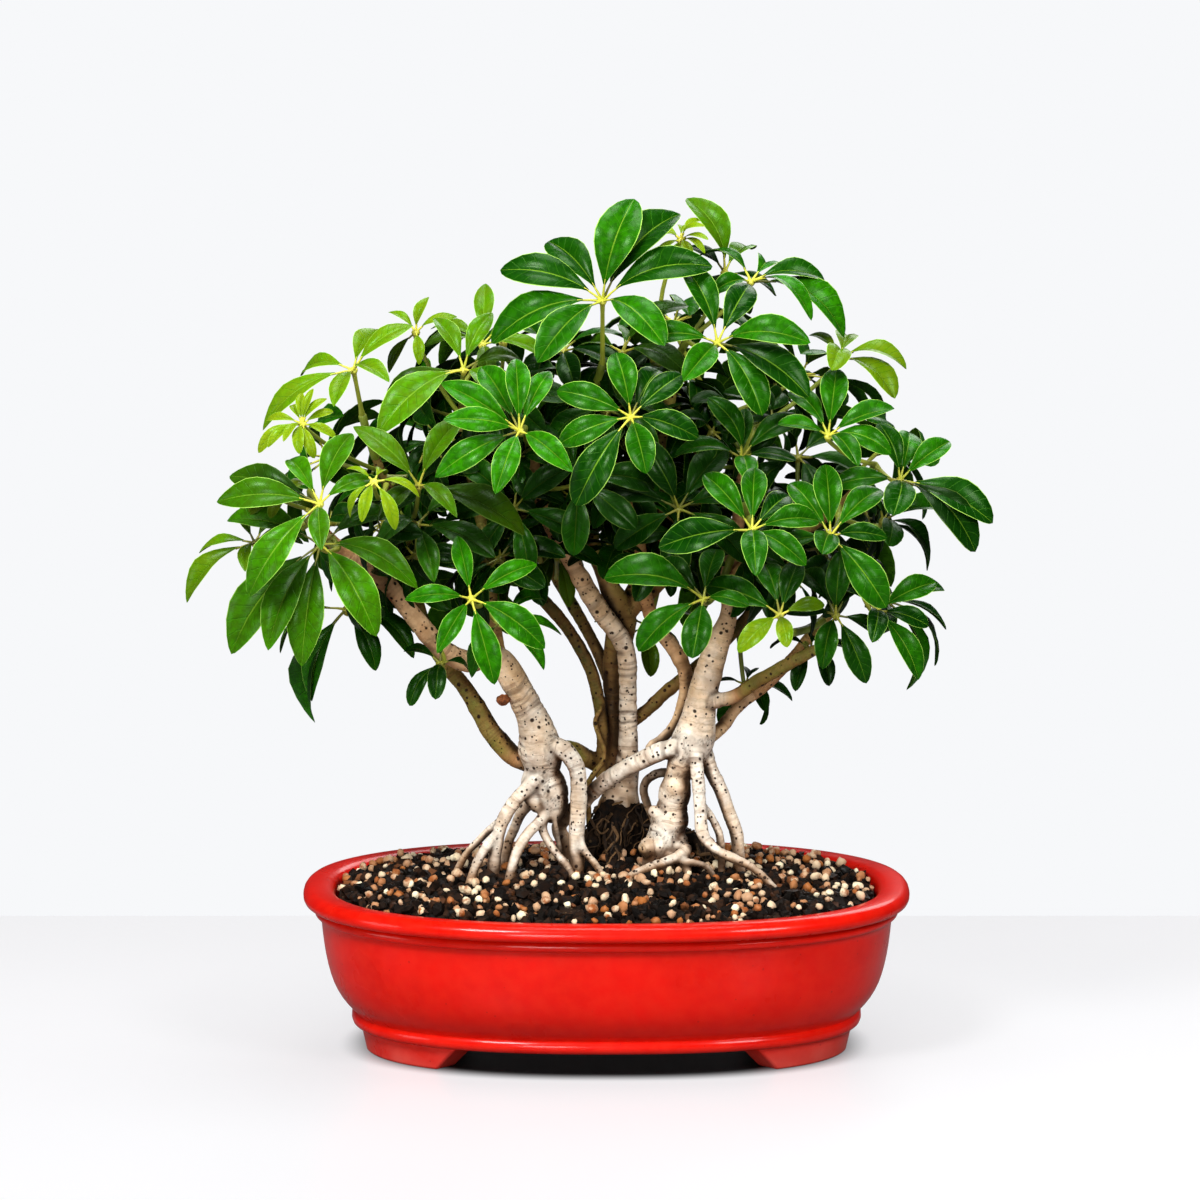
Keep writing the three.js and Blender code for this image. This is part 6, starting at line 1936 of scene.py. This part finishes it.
class BONSAI_OT_fill_crown(bpy.types.Operator):
    """Fill the crown's inside with dark whorls on stalks from the limbs"""

    bl_idname = "bonsai.fill_crown"
    bl_label = "Fill crown"

    def execute(self, context):
        settings = context.scene.bonsai_leaves
        self.blockers = crown_blockers()
        self.starts = []
        for paths in LIMB_PATHS.values():
            for limb, path in paths.items():
                self.starts += [row for row in path if row[0].z > LOWEST_TWIG and "root" not in limb]
        self.finder = finder_of([row[0] for row in self.starts])
        self.form = Skin("tint", "shade", "young")
        rng = random.Random(23)
        for x, h, y, shade in SET_WHORLS:
            self.add_whorl(rng, seen(x, h, y), shade)
        rng = random.Random(7)
        hubs = list(HUBS)
        made = 0
        for _ in range(MOST_TRIES):
            if made == settings.fill:
                break
            base = rng.choice(self.starts)[0]
            hub = base + Vector((rng.uniform(-42, 42), rng.uniform(-18, 46), rng.uniform(0, 42))) * MM
            if in_crown(hub) and has_room(hub, hubs):
                self.add_whorl(rng, hub, rng.uniform(0.2, 0.6))
                hubs.append(hub)
                made += 1
        piece = self.form.piece("inner_leaves", leaf_materials(settings), LEAF_BEND)
        finish_piece(piece, "leaf")
        return {"FINISHED"}

    def add_whorl(self, rng, hub, shade):
        """One whorl that faces out of the crown, on a stalk from the nearest limb."""
        out = hub - CROWN_MIDDLE
        facing = Vector((out.x * 2.0, out.y * 2.0 - 0.03, 0.12)).normalized()
        umbrella = new_umbrella(rng, hub, facing, rng.uniform(0.026, 0.036), rng.choice((6, 7, 7, 8)))
        root = self.starts[self.finder.find(hub)[1]]
        values = {"tint": rng.uniform(0.1, 0.6), "shade": 0.55}
        bow = stalk_bend(root[0], umbrella, (rng.uniform(-0.1, 0.1), 0))
        add_stalk(self.form, bow, PETIOLE_RADIUS * 0.9, values)
        add_umbrella(self.form, umbrella, rng, shade, 0.0, self.blockers)


# Stage
def lamp(name, place, target, size, power):
    """A soft round lamp."""
    light = bpy.data.lights.new(name, "AREA")
    light.shape = "DISK"
    light.size = size
    light.energy = power
    made = link_object(name, light)
    made.location = place
    made.rotation_euler = (Vector(target) - Vector(place)).to_track_quat("-Z", "Y").to_euler()


def make_table():
    """A plain pale table top, its far edge a little behind the pot."""
    bpy.ops.mesh.primitive_plane_add(size=1, location=(0, 0, 0))
    table = bpy.context.object
    table.name = "table_top"
    bpy.ops.object.mode_set(mode="EDIT")
    bpy.ops.mesh.select_all(action="SELECT")
    bpy.ops.transform.resize(value=(*TABLE_SIZE, 1))
    bpy.ops.transform.translate(value=(0, TABLE_BACK - TABLE_SIZE[1] / 2, 0))
    bpy.ops.mesh.extrude_region_move(TRANSFORM_OT_translate={"value": (0, 0, -TABLE_THICKNESS)})
    bpy.ops.mesh.select_all(action="SELECT")
    bpy.ops.mesh.normals_make_consistent()
    bpy.ops.object.mode_set(mode="OBJECT")
    apply_modifier(table, "BEVEL", width=0.004, segments=4)
    bpy.ops.object.shade_smooth_by_angle(angle=math.radians(40))
    table.data.materials.append(make_table_top())


def make_table_top():
    """Pale, and glowing for the camera alone, its white throwing no light up; under the pot a painted
    shadow, near black and without the glow.
    """
    top = Finish("Pale table", specular=0.3)
    parts = top.add("SeparateXYZ", {0: top.place}).outputs
    powers = []
    for axis, reach in enumerate(SHADOW_REACH):
        away = top.math("DIVIDE", top.math("SUBTRACT", parts[axis], POT_MIDDLE[axis]), reach)
        powers.append(top.math("POWER", top.math("ABSOLUTE", away), POT_SQUARENESS))
    beyond_painted_shadow = top.span(top.math("ADD", *powers), 0.62, 1.12)
    cloud = top.noise(top.place, 3.0)
    pale = top.blend(cloud, (0.19, 0.19, 0.193, 1), (0.21, 0.21, 0.213, 1))
    # Painted shadow: near black under the pot, and no glow there
    top.paint(top.blend(beyond_painted_shadow, (0.014, 0.01, 0.011, 1), pale), 0.34)
    watched = top.add("LightPath").outputs["Is Camera Ray"]
    glow = top.blend(top.times(beyond_painted_shadow, watched), (0, 0, 0, 1), (0.985, 0.98, 1.0, 1))
    top.put(top.shader["Emission Color"], glow)
    top.put(top.shader["Emission Strength"], 0.66)
    return top.material


def make_world():
    """A pale backdrop for the camera, that lights the scene only faintly."""
    world = bpy.data.worlds.new("Studio")
    bpy.context.scene.world = world
    world.use_nodes = True
    graph = Graph(world.node_tree)
    background = world.node_tree.nodes["Background"]
    background.inputs["Color"].default_value = colour(247, 248, 250)
    rays = graph.add("LightPath").outputs
    light = graph.span(rays["Is Glossy Ray"], 0.0, 1.0, WORLD_LIGHT, WORLD_GLOSS)
    graph.put(background.inputs["Strength"], graph.math("MAXIMUM", light, rays["Is Camera Ray"]))


class BONSAI_OT_set_stage(bpy.types.Operator):
    """Set the pale table, the soft studio lights, and the camera at the photograph's angle"""

    bl_idname = "bonsai.set_stage"
    bl_label = "Set stage"

    def execute(self, context):
        settings = context.scene.bonsai_stage
        scene = context.scene
        make_table()
        make_world()
        for row in LAMPS:
            lamp(*row)
        camera = bpy.data.cameras.new("Camera")
        camera.lens = CAMERA_LENS
        camera.sensor_width = 36
        camera.clip_end = 40
        made = link_object("Camera", camera)
        target = POT_MIDDLE + Vector(CAMERA_TARGET) * MM
        tilt = settings.elevation
        away = Vector((0, -math.cos(tilt), math.sin(tilt))) * settings.distance
        made.location = target + away
        made.rotation_euler = (-away).to_track_quat("-Z", "Y").to_euler()
        scene.camera = made
        scene.view_settings.view_transform = "Standard"
        scene.view_settings.look = "None"
        return {"FINISHED"}


OPERATORS = [
    BONSAI_OT_set_stage, BONSAI_OT_make_pot, BONSAI_OT_make_screens, BONSAI_OT_make_soil,
    BONSAI_OT_grow_trees, BONSAI_OT_tangle_roots, BONSAI_OT_grow_shoots, BONSAI_OT_fill_crown,
]
SETTINGS = {
    "bonsai_pot": PotSettings, "bonsai_soil": SoilSettings, "bonsai_trees": TreeSettings,
    "bonsai_leaves": LeafSettings, "bonsai_stage": StageSettings,
}


class BONSAI_PT_panel(bpy.types.Panel):
    """Lists the settings and the steps that make the bonsai"""

    bl_idname = "BONSAI_PT_panel"
    bl_label = "Umbrella Tree Bonsai"
    bl_space_type = "VIEW_3D"
    bl_region_type = "UI"
    bl_category = "Bonsai"

    def draw(self, context):
        for name, kind in SETTINGS.items():
            box = self.layout.box()
            for key in kind.__annotations__:
                box.prop(getattr(context.scene, name), key)
        for operator in OPERATORS:
            self.layout.operator(operator.bl_idname)


CLASSES = [*SETTINGS.values(), *OPERATORS, BONSAI_PT_panel]


def register():
    """Registers the classes and adds the settings to the scene."""
    for kind in CLASSES:
        bpy.utils.register_class(kind)
    for name, kind in SETTINGS.items():
        setattr(bpy.types.Scene, name, bpy.props.PointerProperty(type=kind))


def unregister():
    """Takes the settings and the classes away again."""
    for name in SETTINGS:
        delattr(bpy.types.Scene, name)
    for kind in reversed(CLASSES):
        bpy.utils.unregister_class(kind)


def main():
    """Makes the add-on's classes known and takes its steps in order."""
    register()
    for make_group in (make_mottle, make_spots, make_grain, make_veins):
        make_group()
    bpy.ops.bonsai.set_stage()
    bpy.ops.bonsai.make_pot()
    bpy.ops.bonsai.make_screens()
    bpy.ops.bonsai.make_soil()
    bpy.ops.bonsai.grow_trees()
    bpy.ops.bonsai.tangle_roots()
    bpy.ops.bonsai.grow_shoots()
    bpy.ops.bonsai.fill_crown()


if __name__ == "__main__":
    main()
